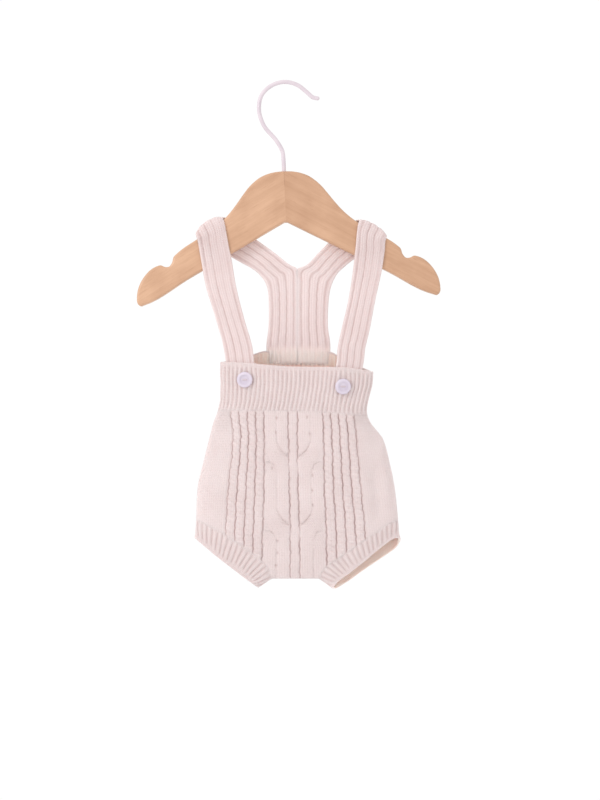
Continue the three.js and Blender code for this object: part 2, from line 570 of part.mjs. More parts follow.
// the rows of a strap's middle surface, each a function of the place across it, 0 out and 1 in
function strapRows({ front, crest, back }, bulge) {
  const rows = [];
  for (const row of front) {
    rows.push((at) => {
      const x = mix(row.outX, row.inX, at);
      return new Vector3(x, frontDepth(x, row.z), row.z);
    });
  }
  const out = new Vector3(crest.outX, 0, crest.outZ);
  const inward = new Vector3(crest.inX, 0, crest.inZ).sub(out);
  const axis = inward.clone().normalize();
  const up = new Vector3(-axis.z, 0, axis.x);
  if (up.z < 0) up.negate();
  const quarter = (Math.PI / 2) * ROLL_RADIUS;
  const bend = (side, turn, slip) => {
    const a = THREE.MathUtils.degToRad(turn);
    const drop = ROLL_RADIUS * (1 - Math.cos(a));
    const arch = bulge * Math.cos(a) ** ARCH.down;
    rows.push((at) => out.clone().addScaledVector(inward, at)
      .addScaledVector(axis, side * slip * (ROLL_FLAT + (quarter * turn) / 90))
      .addScaledVector(up, arch * (1 - Math.abs(2 * at - 1) ** ARCH.across) - drop)
      .setY(side * (ROLL_FLAT + ROLL_RADIUS * Math.sin(a))));
  };
  for (const turn of [90, 60, 30, 0]) bend(-1, turn, ROLL_SLIP.front);
  for (const turn of [0, 30, 60, 90]) bend(1, turn, ROLL_SLIP.back);
  for (const row of back) {
    rows.push((at) => {
      const x = mix(row.outX, row.inX, at);
      const z = mix(row.outZ, row.inZ, at);
      return new Vector3(x, backDepth(z), z);
    });
  }
  const foot = back[back.length - 1];
  rows.push((at) => {
    const x = mix(foot.outX, foot.inX, at);
    return new Vector3(x, backDepth(foot.outZ), bandEdgeAt.backTop(acrossAt(x, foot.outZ)) + SEAM);
  });
  return rows;
}

// four rib pitches across a strap: a half rib on either edge and three whole ones between
const STRAP_GROOVES = 4;
const STRAP_GROOVE_HALF = 0.045;
const STRAP_EDGE = 0.6;           // share of a rib's height left at the strap's edges

function strapColumns() {
  const columns = [{ at: 0, high: STRAP_EDGE }];
  for (let groove = 0; groove < STRAP_GROOVES; groove += 1) {
    const at = (groove + 0.5) / STRAP_GROOVES;
    columns.push({ at: at - STRAP_GROOVE_HALF, high: 1 }, { at, high: 0 });
    columns.push({ at: at + STRAP_GROOVE_HALF, high: 1 });
  }
  columns.push({ at: 1, high: STRAP_EDGE });
  return columns;
}

function strap(name, size, bulge, material) {
  const columns = strapColumns();
  const middle = strapRows(size, bulge).map((row) => columns.map(({ at }) => row(at)));
  const lastRow = middle.length - 1;
  const lastColumn = columns.length - 1;
  const normalAt = (r, c) => {
    const down = middle[Math.min(r + 1, lastRow)][c].clone().sub(middle[Math.max(r - 1, 0)][c]);
    const across = middle[r][lastColumn].clone().sub(middle[r][0]);
    const local = middle[r][Math.min(c + 1, lastColumn)].clone().sub(middle[r][Math.max(c - 1, 0)]);
    return down.cross(local.length() > 0.01 ? local : across).normalize();
  };
  const face = (sign) => middle.map((row, r) => row.map((point, c) => point.clone()
    .addScaledVector(normalAt(r, c), sign * (STRAP_CORE + STRAP_RIB * columns[c].high))));
  const rowPlaces = middle.map((_, r) => r / lastRow);
  const columnPlaces = columns.map(({ at }) => at);
  return wall(name, material, face(1), face(-1), {
    outColumns: columnPlaces, inColumns: columnPlaces, outRows: rowPlaces, inRows: rowPlaces,
  });
}

// ---- buttons ------------------------------------------------------------------------------
const buttonPlaces = {
  left: { x: -39.9, z: -294.0 },
  right: { x: 56.7, z: -300.7 },
};
const BUTTON_OFF = 0.35;          // a button's back clears the ribs by this much

const wasm = await Module();
wasm.setup();

function toSolid(geometry) {
  const plain = geometry.clone();
  plain.deleteAttribute("normal");
  plain.deleteAttribute("uv");
  const merged = mergeVertices(plain, 1e-4);
  return new wasm.Manifold(new wasm.Mesh({
    numProp: 3,
    vertProperties: new Float32Array(merged.attributes.position.array),
    triVerts: new Uint32Array(merged.index.array),
  }));
}

function fromSolid(solid) {
  const { vertProperties, triVerts } = solid.getMesh();
  const geometry = new THREE.BufferGeometry();
  geometry.setAttribute("position", new THREE.BufferAttribute(vertProperties, 3));
  geometry.setIndex(new THREE.BufferAttribute(triVerts, 1));
  geometry.computeVertexNormals();
  return geometry;
}

// a two-hole button with a raised rim round a shallow dish, its back on the XZ plane, facing -Y
function buttonGeometry() {
  const { radius, thick, dishRadius, dishDepth, holeRadius, holeOut } = BUTTON;
  const profile = [
    [0, 0], [radius - 1.2, 0], [radius - 0.3, 0.7], [radius, thick * 0.5], [radius - 0.5, thick - 0.5],
    [radius - 1.5, thick], [dishRadius + 0.7, thick - 0.1], [dishRadius - 0.4, thick - dishDepth],
    [0, thick - dishDepth],
  ].map(([r, y]) => new Vector2(r, y));
  let solid = toSolid(new THREE.LatheGeometry(profile, 20));
  for (const side of [-1, 1]) {
    const hole = new THREE.CylinderGeometry(holeRadius, holeRadius, thick * 3, 8);
    hole.translate(side * holeOut, 0, 0);
    solid = solid.subtract(toSolid(hole));
  }
  return fromSolid(solid);
}

function button(name, { x, z }, material) {
  const spot = bodyPoint(x, z, -1);
  const mesh = new THREE.Mesh(buttonGeometry(), material);
  mesh.name = name;
  mesh.position.copy(moved(spot, RIB_UP + BUTTON_OFF));
  mesh.quaternion.setFromUnitVectors(new Vector3(0, 1, 0), spot.normal);
  return mesh;
}

// ---- hanger -------------------------------------------------------------------------------
// the right half of the outline, from the top of the dome to the point under it
const hangerHalf = [
  { across: 0, up: 0 }, { across: 10, up: -0.6 }, { across: 18, up: -2.6 }, { across: 24, up: -5.2 },
  { across: 30, up: -9.4 }, { across: 36, up: -15 }, { across: 42, up: -22.4 }, { across: 49, up: -31.6 },
  { across: 56, up: -40 }, { across: 65, up: -48.5 }, { across: 109, up: -77.2 },
  { across: 112.6, up: -80.6 },
  { across: 114.6, up: -86.6 }, { across: 117.8, up: -90.2 }, { across: 121.6, up: -90.2 },
  { across: 125.6, up: -88.4 }, { across: 130.6, up: -89.6 }, { across: 136, up: -92.6 },
  { across: 141.6, up: -98 }, { across: 146.4, up: -105 }, { across: 149.6, up: -113 },
  { across: 150.6, up: -120 }, { across: 150.2, up: -125.4 }, { across: 147.4, up: -128.2 },
  { across: 143, up: -127 }, { across: 9, up: -54.6 }, { across: 1.6, up: -50.6 },
];

function hanger(name, material) {
  const right = hangerHalf.map(({ across, up }) => new Vector2(across, up));
  const left = hangerHalf.slice(1).reverse().map(({ across, up }) => new Vector2(-across, up));
  const { halfThick, edgeRound } = HANGER;
  const geometry = new THREE.ExtrudeGeometry(new THREE.Shape([...right, ...left]), {
    depth: 2 * (halfThick - edgeRound), bevelThickness: edgeRound, bevelSize: edgeRound,
    bevelOffset: -edgeRound, bevelSegments: 3, steps: 1,
  });
  geometry.translate(0, 0, -(halfThick - edgeRound));
  geometry.rotateX(Math.PI / 2);
  const mesh = new THREE.Mesh(geometry, material);
  mesh.name = name;
  mesh.position.set(HANGER.apexX, 0, HANGER.apexZ);
  mesh.rotation.y = -THREE.MathUtils.degToRad(HANGER.tilt);
  return mesh;
}

// the wire's centre line: stem, slant, big turn, crown and upturned tip
const hookLine = [
  { x: -1.5, z: HANGER.apexZ + 0.3 }, { x: -1.9, z: -77 }, { x: -3.2, z: -66.5 }, { x: -8.6, z: -57 },
  { x: -22.2, z: -40 }, { x: -26.3, z: -26 }, { x: -23.4, z: -10.6 }, { x: -12.6, z: -0.9 },
  { x: 0, z: WIRE_RADIUS }, { x: 12, z: -1.1 }, { x: 21.5, z: -8.4 }, { x: 27.4, z: -13.3 },
  { x: 34, z: -14.6 },
];

function hook(name, material) {
  const spots = hookLine.map(({ x, z }) => new Vector3(x, 0, z));
  const path = new THREE.CatmullRomCurve3(spots, false, "centripetal");
  const ring = steps(8).slice(0, -1).map((turn) => new Vector2(
    WIRE_RADIUS * Math.cos(2 * Math.PI * turn), WIRE_RADIUS * Math.sin(2 * Math.PI * turn)));
  const geometry = new THREE.ExtrudeGeometry(new THREE.Shape(ring), {
    extrudePath: path, steps: 36, bevelEnabled: false,
  });
  const mesh = new THREE.Mesh(geometry, material);
  mesh.name = name;
  return mesh;
}

// ---- the whole thing ----------------------------------------------------------------------
const finish = (color, roughness) => new THREE.MeshStandardMaterial({ color, roughness, metalness: 0 });
const knit = finish(COLOUR.knit, 0.95);
const wood = finish(COLOUR.wood, 0.5);
const wire = finish(COLOUR.wire, 0.3);
const plastic = finish(COLOUR.button, 0.25);

const part = new THREE.Group();
const front = panel("front_panel", -1, frontColumns(), frontRows, frontRelief, knit);
const back = panel("back_panel", 1, plainColumns, plainRows, () => 0, knit);
part.add(front.mesh, back.mesh);
part.add(waistband("front_waistband", -1, false, knit));
part.add(waistband("back_waistband", 1, true, knit));
for (const leg of ["left", "right"]) {
  part.add(cuff(`${leg}_leg_cuff`, leg, legSeam(front.edge, back.edge, leg), knit));
  part.add(strap(`${leg}_strap`, straps[leg], BULGE[leg], knit));
  part.add(button(`${leg}_button`, buttonPlaces[leg], plastic));
}
part.add(hanger("wooden_hanger", wood));
part.add(hook("hanger_hook", wire));

export default part;
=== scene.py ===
# Knitted baby suspender shorts hanging on a small wooden hanger.
# The tables are in millimetres, +Z up, front towards -Y, from the point where the hook's crown rests.
import math

import bpy
import numpy as np
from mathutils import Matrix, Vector


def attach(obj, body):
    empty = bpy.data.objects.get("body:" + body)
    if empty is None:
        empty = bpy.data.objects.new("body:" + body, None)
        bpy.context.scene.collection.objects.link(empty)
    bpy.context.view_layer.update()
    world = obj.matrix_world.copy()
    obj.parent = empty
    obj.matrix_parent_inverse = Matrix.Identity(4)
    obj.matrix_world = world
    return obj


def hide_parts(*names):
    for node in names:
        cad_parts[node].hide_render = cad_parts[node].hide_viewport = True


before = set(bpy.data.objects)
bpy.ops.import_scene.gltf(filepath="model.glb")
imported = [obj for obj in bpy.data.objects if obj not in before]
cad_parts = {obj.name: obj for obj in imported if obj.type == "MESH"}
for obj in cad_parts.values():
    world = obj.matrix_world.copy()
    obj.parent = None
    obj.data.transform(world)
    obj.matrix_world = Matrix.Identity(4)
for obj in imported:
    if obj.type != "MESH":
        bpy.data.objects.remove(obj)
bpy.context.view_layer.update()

MM = 0.001


def table(columns, *rows):
    """A short table as one array per named column."""
    return {name: np.array([row[i] for row in rows], float) for i, name in enumerate(columns.split())}


def rows_of(columns):
    """A table's rows again."""
    return zip(*columns.values())


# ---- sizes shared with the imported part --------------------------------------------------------
WALL = 2.2                  # plain knit of the panels, bands and cuffs
ROUNDNESS = 2.6             # exponent of the flattened section of the body
BAND_RIBS = 36              # ribs across the front or the back of the waistband
CUFF_RIBS = 36              # ribs all round one leg cuff
STRAP_CORE = 0.75           # half thickness of a strap in its grooves
STRAP_RIB = 0.55            # how far each strap rib stands out on either face
STRAP_CREST = STRAP_CORE + STRAP_RIB
SEAM = 0.4                  # gap between two sewn pieces
HANGER_HALF = 6.0           # half thickness of the hanger
HANGER_EDGE = 2.5           # radius of its rounded edges
HANGER_APEX = (-1.5, -87.2)    # x and z of the top of its dome
HANGER_TILT = 2.2           # degrees, left end lower
WIRE_RADIUS = 2.1

# side edges and half the thickness of the hanging shorts, by height
BODY = table(
    "z left right depth",
    (-262, -64.2, 87.4, 12.6), (-284, -64.8, 87.2, 12.8), (-299, -64.2, 85.9, 13.0),
    (-312, -64.6, 82.6, 13.2), (-325, -67.4, 80.5, 13.6), (-335, -71.2, 83.8, 14.4),
    (-353, -76.0, 97.0, 16.4), (-373, -81.0, 102.8, 18.0), (-403, -87.6, 108.8, 18.6),
    (-433, -89.0, 112.0, 17.6), (-452, -90.0, 114.0, 15.6), (-470, -90.0, 115.0, 11.4),
    (-483, -90.0, 115.0, 7.2), (-487.5, -90.0, 115.0, 5.6), (-490.4, -90.0, 115.0, 3.4),
    (-491.6, -90.0, 115.0, 0.4),
)
# where the rib groups and the centre column of the front run, by height
FRONT_LINES = table(
    "z left_out left_in centre_left centre_right right_in right_out",
    (-328, -53.8, -21.5, 2.5, 12.0, 36.9, 68.0),
    (-351, -51.7, -20.9, 3.2, 11.9, 38.0, 70.0),
    (-402, -56.3, -21.1, 4.1, 12.6, 38.6, 74.5),
    (-440, -58.6, -22.4, 5.0, 13.9, 40.5, 78.3),
    (-491, -60.0, -24.0, 5.0, 14.4, 41.2, 82.0),
)
# the panels' lower edge: leg seam, crotch fold, leg seam
CROTCH = {"left": -13.4, "right": 33.3, "z": -491.5}
LOWER_EDGE = table(
    "x z",
    (-90.0, -431.8), (-74.5, -438.6), (-64.4, -444.0), (-49.8, -453.5), (-30.8, -467.0),
    (-23.3, -473.4), (-18.0, -479.0), (-15.2, -484.5), (CROTCH["left"], CROTCH["z"]),
    (CROTCH["right"], CROTCH["z"]), (36.0, -484.0), (42.0, -477.5), (52.8, -470.5),
    (72.4, -456.6), (88.9, -445.3), (100.8, -437.2), (113.0, -431.8),
)
RIGHT_BACK_DROP = 5.0       # the back of the right leg hangs this much lower
# edges of the waistband by place across it, -1 left side seam, 1 right side seam
BAND_EDGES = table(
    "across front_top front_bottom back_top back_bottom",
    (-1.0, -276.0, -324.0, -276.4, -324.4),
    (-0.6, -277.4, -324.2, -268.8, -317.0),
    (-0.42, -279.0, -324.4, -264.8, -314.0),
    (0.0, -281.0, -324.6, -264.2, -311.6),
    (0.44, -281.4, -325.6, -265.8, -315.4),
    (0.6, -281.6, -326.4, -272.6, -318.5),
    (1.0, -285.4, -329.4, -285.8, -329.8),
)


# ---- small helpers ----------------------------------------------------------------------------
def mix(a, b, t):
    return a + (b - a) * t


def smooth(t):
    """Eases from 0 to 1."""
    c = np.clip(t, 0.0, 1.0)
    return c * c * (3 - 2 * c)


def between(value, low, high, over_low, over_high):
    """1 inside a range, easing to 0 at its ends over these lengths."""
    return smooth((value - low) / over_low) * smooth((high - value) / over_high)


def bell(off, wide=1.0):
    """A soft bump, 1 in the middle."""
    return np.exp(-(off / wide) ** 2)


def wave(along, pitch, turn=0.0):
    """A sine wave of this pitch, turned on by an angle."""
    return np.sin(2 * math.pi * along / pitch + turn)


def unit(v):
    return v / np.maximum(np.linalg.norm(v, axis=-1, keepdims=True), 1e-9)


def lengths_along(line):
    """How far along a line of points each of them lies."""
    return np.concatenate([[0], np.cumsum(np.linalg.norm(np.diff(line, axis=0), axis=1))])


def uv_grid(wales, courses):
    """Wales across and courses up at every point of a grid."""
    return np.stack([np.broadcast_to(wales, courses.shape), courses], axis=-1)


def thinned(values, every):
    """Only every so many values, but always the last."""
    some = values[::every]
    return some if some[-1] == values[-1] else np.append(some, values[-1])


def curve_through(rows, key, value):
    """A smooth curve through a table's rows that never overshoots them."""
    order = np.argsort(rows[key])
    x = rows[key][order]
    y = rows[value][order]
    slope = np.diff(y) / np.diff(x)
    tangent = np.empty_like(y)
    tangent[0] = slope[0]
    tangent[-1] = slope[-1]
    product = slope[:-1] * slope[1:]
    total = slope[:-1] + slope[1:]
    tangent[1:-1] = np.where(product > 0, 2 * product / np.where(total == 0, 1, total), 0)

    def at(where):
        v = np.clip(where, x[0], x[-1])
        i = np.clip(np.searchsorted(x, v) - 1, 0, len(x) - 2)
        h = x[i + 1] - x[i]
        t = (v - x[i]) / h
        t2 = t * t
        t3 = t2 * t
        return ((2 * t3 - 3 * t2 + 1) * y[i] + (t3 - 2 * t2 + t) * h * tangent[i]
                + (3 * t2 - 2 * t3) * y[i + 1] + (t3 - t2) * h * tangent[i + 1])

    return at


left_at = curve_through(BODY, "z", "left")
right_at = curve_through(BODY, "z", "right")
depth_at = curve_through(BODY, "z", "depth")
LINES = [left_at]
LINES += [curve_through(FRONT_LINES, "z", name) for name in list(FRONT_LINES)[1:]]
LINES += [right_at]
lower_edge_at = curve_through(LOWER_EDGE, "x", "z")
band_edge_at = {name: curve_through(BAND_EDGES, "across", name) for name in list(BAND_EDGES)[1:]}


def centre_at(z):
    return (left_at(z) + right_at(z)) / 2


def half_width_at(z):
    return (right_at(z) - left_at(z)) / 2


def across_at(x, z):
    return np.clip((x - centre_at(z)) / half_width_at(z), -1, 1)


def body_level(x, y, z):
    across = np.abs((x - centre_at(z)) / half_width_at(z))
    return across ** ROUNDNESS + np.abs(y / depth_at(z)) ** ROUNDNESS


def body_point(x, z, side):
    """Points of the body's surface and the way out of the cloth there; side is -1 in front, 1 behind."""
    x, z = np.broadcast_arrays(np.asarray(x, float), np.asarray(z, float))
    across = np.abs(across_at(x, z))
    thinnest = 0.02
    y = side * np.maximum(thinnest, depth_at(z) * (1 - across ** ROUNDNESS) ** (1 / ROUNDNESS))
    e = 0.05                # step over which the slopes are taken
    normal = np.stack([
        body_level(x + e, y, z) - body_level(x - e, y, z),
        body_level(x, y + e, z) - body_level(x, y - e, z),
        body_level(x, y, z + e) - body_level(x, y, z - e),
    ], axis=-1)
    return np.stack([x, y, z], axis=-1), unit(normal)


class Ripples:
    """Gentle unevenness: a few long waves in set directions, the same on every run."""

    def __init__(self, seed, longest, shortest, count=7):
        rng = np.random.default_rng(seed)
        length = np.geomspace(longest, shortest, count)
        turn = rng.uniform(0, math.pi, count)
        self.kx = 2 * math.pi * np.cos(turn) / length
        self.kz = 2 * math.pi * np.sin(turn) / length
        self.phase = rng.uniform(0, 2 * math.pi, count)
        self.weight = (length / longest) ** 0.5 / count ** 0.5

    def at(self, x, z):
        x, z = np.broadcast_arrays(x, z)
        waves = np.sin(x[..., None] * self.kx + z[..., None] * self.kz + self.phase)
        return (waves * self.weight).sum(axis=-1)


# soft folds: from one end to the other, half width, height (below 0 a hollow)
FRONT_FOLDS = table(
    "x0 z0 x1 z1 wide high",
    (91, -352, 86, -366, 8.0, -1.5),
    (88, -384, 93, -428, 6.5, -3.0),
    (101, -372, 104, -402, 6.0, 1.3),
    (76, -338, 82, -356, 5.0, 0.9),
    (-66, -340, -72, -372, 8.0, -0.8),
    (-76, -392, -70, -430, 10.0, 0.8),
    (-18, -474, -34, -448, 7.0, -0.9),
    (38, -476, 54, -452, 7.0, -0.9),
    (-8, -482, 24, -484, 6.0, 0.5),
    (-30, -336, -34, -352, 6.0, 0.6),
)
BACK_FOLDS = table(
    "x0 z0 x1 z1 wide high",
    (-58, -334, -66, -384, 8.0, 1.2),
    (-36, -326, -30, -366, 7.0, -1.3),
    (4, -324, 2, -352, 6.0, -0.9),
    (38, -326, 46, -372, 7.5, -1.4),
    (70, -340, 84, -392, 9.0, 1.3),
    (-20, -478, -48, -440, 9.0, -1.6),
    (36, -478, 66, -438, 9.0, -1.7),
    (-6, -470, 24, -466, 8.0, 1.1),
    (-60, -410, -30, -424, 10.0, -1.0),
    (88, -408, 60, -428, 9.0, 0.9),
)


FOLD_ENDS = 0.55            # share of a fold's height that is left at its ends


def folded(x, z, folds):
    """How far the soft folds lift the cloth at each place."""
    lift = np.zeros(np.broadcast(x, z).shape)
    for x0, z0, x1, z1, wide, high in rows_of(folds):
        ax = x1 - x0
        az = z1 - z0
        along = ((x - x0) * ax + (z - z0) * az) / (ax * ax + az * az)
        t = np.clip(along, 0, 1)
        off = np.hypot(x - x0 - t * ax, z - z0 - t * az)
        lift += high * bell(off, wide) * mix(FOLD_ENDS, 1, np.sin(math.pi * t))
    return lift


# ---- closed meshes from grids -----------------------------------------------------------------
SHARP_EDGE = 62             # degrees; sharper turns are borders of a wall


def added(name, data):
    """A new object in the scene."""
    piece = bpy.data.objects.new(name, data)
    bpy.context.collection.objects.link(piece)
    return piece


class Faces:
    """Vertices, faces and what each corner and vertex carries (uv, painted shade and a share of painted
    inside light), gathered into one closed mesh.
    """

    def __init__(self):
        self.points = []
        self.hollows = []
        self.painted_inside_lights = []
        self.count = 0
        self.quads = []
        self.quad_uvs = []
        self.tris = []
        self.tri_uvs = []

    # painted shade darkens grooves, creases and hollows where shade falls, and below 0 it paints light
    def grid(self, points, uv, hollow, inside=0.0, ring=False, flip=False):
        """Adds a grid of quads. A ring's columns close up, and its uv has one column more."""
        rows, columns = points.shape[:2]
        index = self.count + np.arange(rows * columns).reshape(rows, columns)
        self.count += rows * columns
        self.points.append(points.reshape(-1, 3))
        self.hollows.append(np.broadcast_to(hollow, (rows, columns)).reshape(-1))
        self.painted_inside_lights.append(np.broadcast_to(inside, (rows, columns)).reshape(-1))
        if ring:
            index = np.concatenate([index, index[:, :1]], axis=1)
        corner = [np.s_[:-1, :-1], np.s_[1:, :-1], np.s_[1:, 1:], np.s_[:-1, 1:]]
        if flip:
            corner.reverse()
        self.quads.append(np.stack([index[c] for c in corner], axis=-1).reshape(-1, 4))
        self.quad_uvs.append(np.stack([uv[c] for c in corner], axis=-2).reshape(-1, 4, 2))
        return index, uv

    def strip(self, row_a, place_a, uv_a, row_b, place_b, uv_b):
        """Triangles between two rows of vertices whose places along the row are known."""
        i = 0
        j = 0
        while i < len(row_a) - 1 or j < len(row_b) - 1:
            next_a = place_a[i + 1] if i < len(row_a) - 1 else math.inf
            next_b = place_b[j + 1] if j < len(row_b) - 1 else math.inf
            if next_a <= next_b:
                self.tris.append((row_a[i], row_a[i + 1], row_b[j]))
                self.tri_uvs.append((uv_a[i], uv_a[i + 1], uv_b[j]))
                i += 1
            else:
                self.tris.append((row_a[i], row_b[j + 1], row_b[j]))
                self.tri_uvs.append((uv_a[i], uv_b[j + 1], uv_b[j]))
                j += 1

    def build(self, name, material):
        points = np.concatenate(self.points) * MM
        quads = np.concatenate(self.quads) if self.quads else np.zeros((0, 4), int)
        quad_uvs = np.concatenate(self.quad_uvs) if self.quads else np.zeros((0, 4, 2))
        tris = np.array(self.tris, int).reshape(-1, 3)
        tri_uvs = np.array(self.tri_uvs, float).reshape(-1, 3, 2)
        split = np.concatenate([quads[:, [0, 1, 2]], quads[:, [0, 2, 3]], tris])
        a, b, c = (points[split[:, i]] for i in range(3))
        if (a * np.cross(b, c)).sum() < 0:
            quads = quads[:, ::-1]
            quad_uvs = quad_uvs[:, ::-1]
            tris = tris[:, ::-1]
            tri_uvs = tri_uvs[:, ::-1]
        loops = np.concatenate([quads.reshape(-1), tris.reshape(-1)])
        uvs = np.concatenate([quad_uvs.reshape(-1, 2), tri_uvs.reshape(-1, 2)])
        sizes = np.concatenate([np.full(len(quads), 4), np.full(len(tris), 3)])
        mesh = bpy.data.meshes.new(name)
        mesh.vertices.add(len(points))
        mesh.vertices.foreach_set("co", points.astype(np.float32).reshape(-1))
        mesh.loops.add(len(loops))
        mesh.loops.foreach_set("vertex_index", loops.astype(np.int32))
        mesh.polygons.add(len(sizes))
        mesh.polygons.foreach_set("loop_start", (np.cumsum(sizes) - sizes).astype(np.int32))
        mesh.uv_layers.new(name="stitches").data.foreach_set("uv", uvs.astype(np.float32).reshape(-1))
        # painted shade and painted inside light, one value per vertex, for the knit material
        for name_of, values in (("hollow", self.hollows), ("inside", self.painted_inside_lights)):
            shade = mesh.attributes.new(name_of, "FLOAT", "POINT")
            shade.data.foreach_set("value", np.concatenate(values).astype(np.float32))
        mesh.update(calc_edges=True)
        mesh.validate()
        mesh.shade_smooth()
        mesh.set_sharp_from_angle(angle=math.radians(SHARP_EDGE))
        mesh.materials.append(material)
        return added(name, mesh)


def wall(name, material, outer, inner, places, ring=False):
    """A closed wall from two grids (points, uv, painted shade, share of painted inside light) and where
    their columns and rows lie.
    """
    faces = Faces()
    out, out_uv = faces.grid(*outer, ring=ring)
    inn, inn_uv = faces.grid(*inner, ring=ring, flip=True)
    out_columns, in_columns, out_rows, in_rows = places
    faces.strip(out[0], out_columns, out_uv[0], inn[0], in_columns, inn_uv[0])
    faces.strip(inn[-1], in_columns, inn_uv[-1], out[-1], out_columns, out_uv[-1])
    if not ring:
        faces.strip(inn[:, 0], in_rows, inn_uv[:, 0], out[:, 0], out_rows, out_uv[:, 0])
        faces.strip(out[:, -1], out_rows, out_uv[:, -1], inn[:, -1], in_rows, inn_uv[:, -1])
    return faces.build(name, material)


# ---- materials --------------------------------------------------------------------------------
def srgb(r, g, b):
    """An 8-bit screen colour as linear light."""
    c = np.array([r, g, b]) / 255
    linear = np.where(c <= 0.04045, c / 12.92, ((c + 0.055) / 1.055) ** 2.4)
    return (*linear.tolist(), 1.0)


class Nodes:
    """Shorthand for laying out one material's nodes. place is a point's own place in metres."""

    def __init__(self, name):
        self.material = bpy.data.materials.new(name)
        self.material.use_nodes = True
        self.tree = self.material.node_tree
        self.shader = self.tree.nodes["Principled BSDF"]
        self.place = self.add("ShaderNodeTexCoord").outputs["Object"]

    def plug(self, socket, value):
        """Gives a socket a value of its own or another node's result."""
        if isinstance(value, (int, float, tuple)):
            socket.default_value = value
        elif value is not None:
            self.tree.links.new(value, socket)

    def add(self, kind, sockets=None, **settings):
        made = self.tree.nodes.new(kind)
        for key, value in settings.items():
            setattr(made, key, value)
        for key, value in (sockets or {}).items():
            self.plug(made.inputs[key], value)
        return made

    def math(self, operation, a, b=None, c=None, clamp=False):
        sockets = {0: a, 1: b, 2: c}
        return self.add("ShaderNodeMath", sockets, operation=operation, use_clamp=clamp).outputs[0]

    def noise(self, scale, detail=2.0, rough=0.5, at=None):
        at = self.place if at is None else at
        sockets = {"Vector": at, "Scale": scale, "Detail": detail, "Roughness": rough}
        return self.add("ShaderNodeTexNoise", sockets).outputs["Fac"]

    def blend(self, factor, a, b):
        return self.add("ShaderNodeMix", {"Factor": factor, 6: a, 7: b}, data_type="RGBA").outputs[2]

    def span(self, value, low, high, to_low=0.0, to_high=1.0):
        sockets = {"Value": value, "From Min": low, "From Max": high, "To Min": to_low, "To Max": to_high}
        return self.add("ShaderNodeMapRange", sockets).outputs["Result"]

    def patchy(self, scale, detail, low=0.0, high=1.0):
        """Noise spread between two values."""
        return self.span(self.noise(scale, detail), 0.3, 0.7, low, high)

    def bump(self, height, distance, strength=1.0):
        sockets = {"Height": height, "Distance": distance, "Strength": strength}
        return self.add("ShaderNodeBump", sockets).outputs["Normal"]

    def shade(self, **sockets):
        """Sets or links the shader's sockets; their names have _ for each space."""
        for key, value in sockets.items():
            self.plug(self.shader.inputs[key.replace("_", " ")], value)
        return self.material


# Knit colours. KNIT_DEEP is a shaded copy of KNIT_LIGHT: painted shade between the stitches and in grooves,
# creases and hollows blends towards it, and so does a random mottle. The two inside colours are painted
# light: lighter, warmer copies for inner faces that stand in for light shining through the thin knit and
# bouncing inside it.
KNIT_LIGHT = srgb(246, 232, 231)
KNIT_DEEP = srgb(204, 178, 175)
KNIT_INSIDE_PAINTED_LIGHT = srgb(255, 240, 232)
KNIT_INSIDE_DEEP_PAINTED_LIGHT = srgb(236, 198, 187)
KNIT_FUZZ = srgb(250, 238, 236)
STITCH_SLOPE = 0.55         # how far a stitch's legs climb from its middle to its side, in courses
WALE_STRAY = 0.07           # how far the stitches stray sideways, in wales
COURSE_STRAY = 0.12         # and up or down, in courses
FIBRE_UP = 0.35             # height of the loose fibres beside that of a stitch
GAP_SHADE = 0.32            # how dark it is between the stitches
HOLLOW_SHADE = 0.7          # and how dark the painted shade makes grooves, creases and hollows


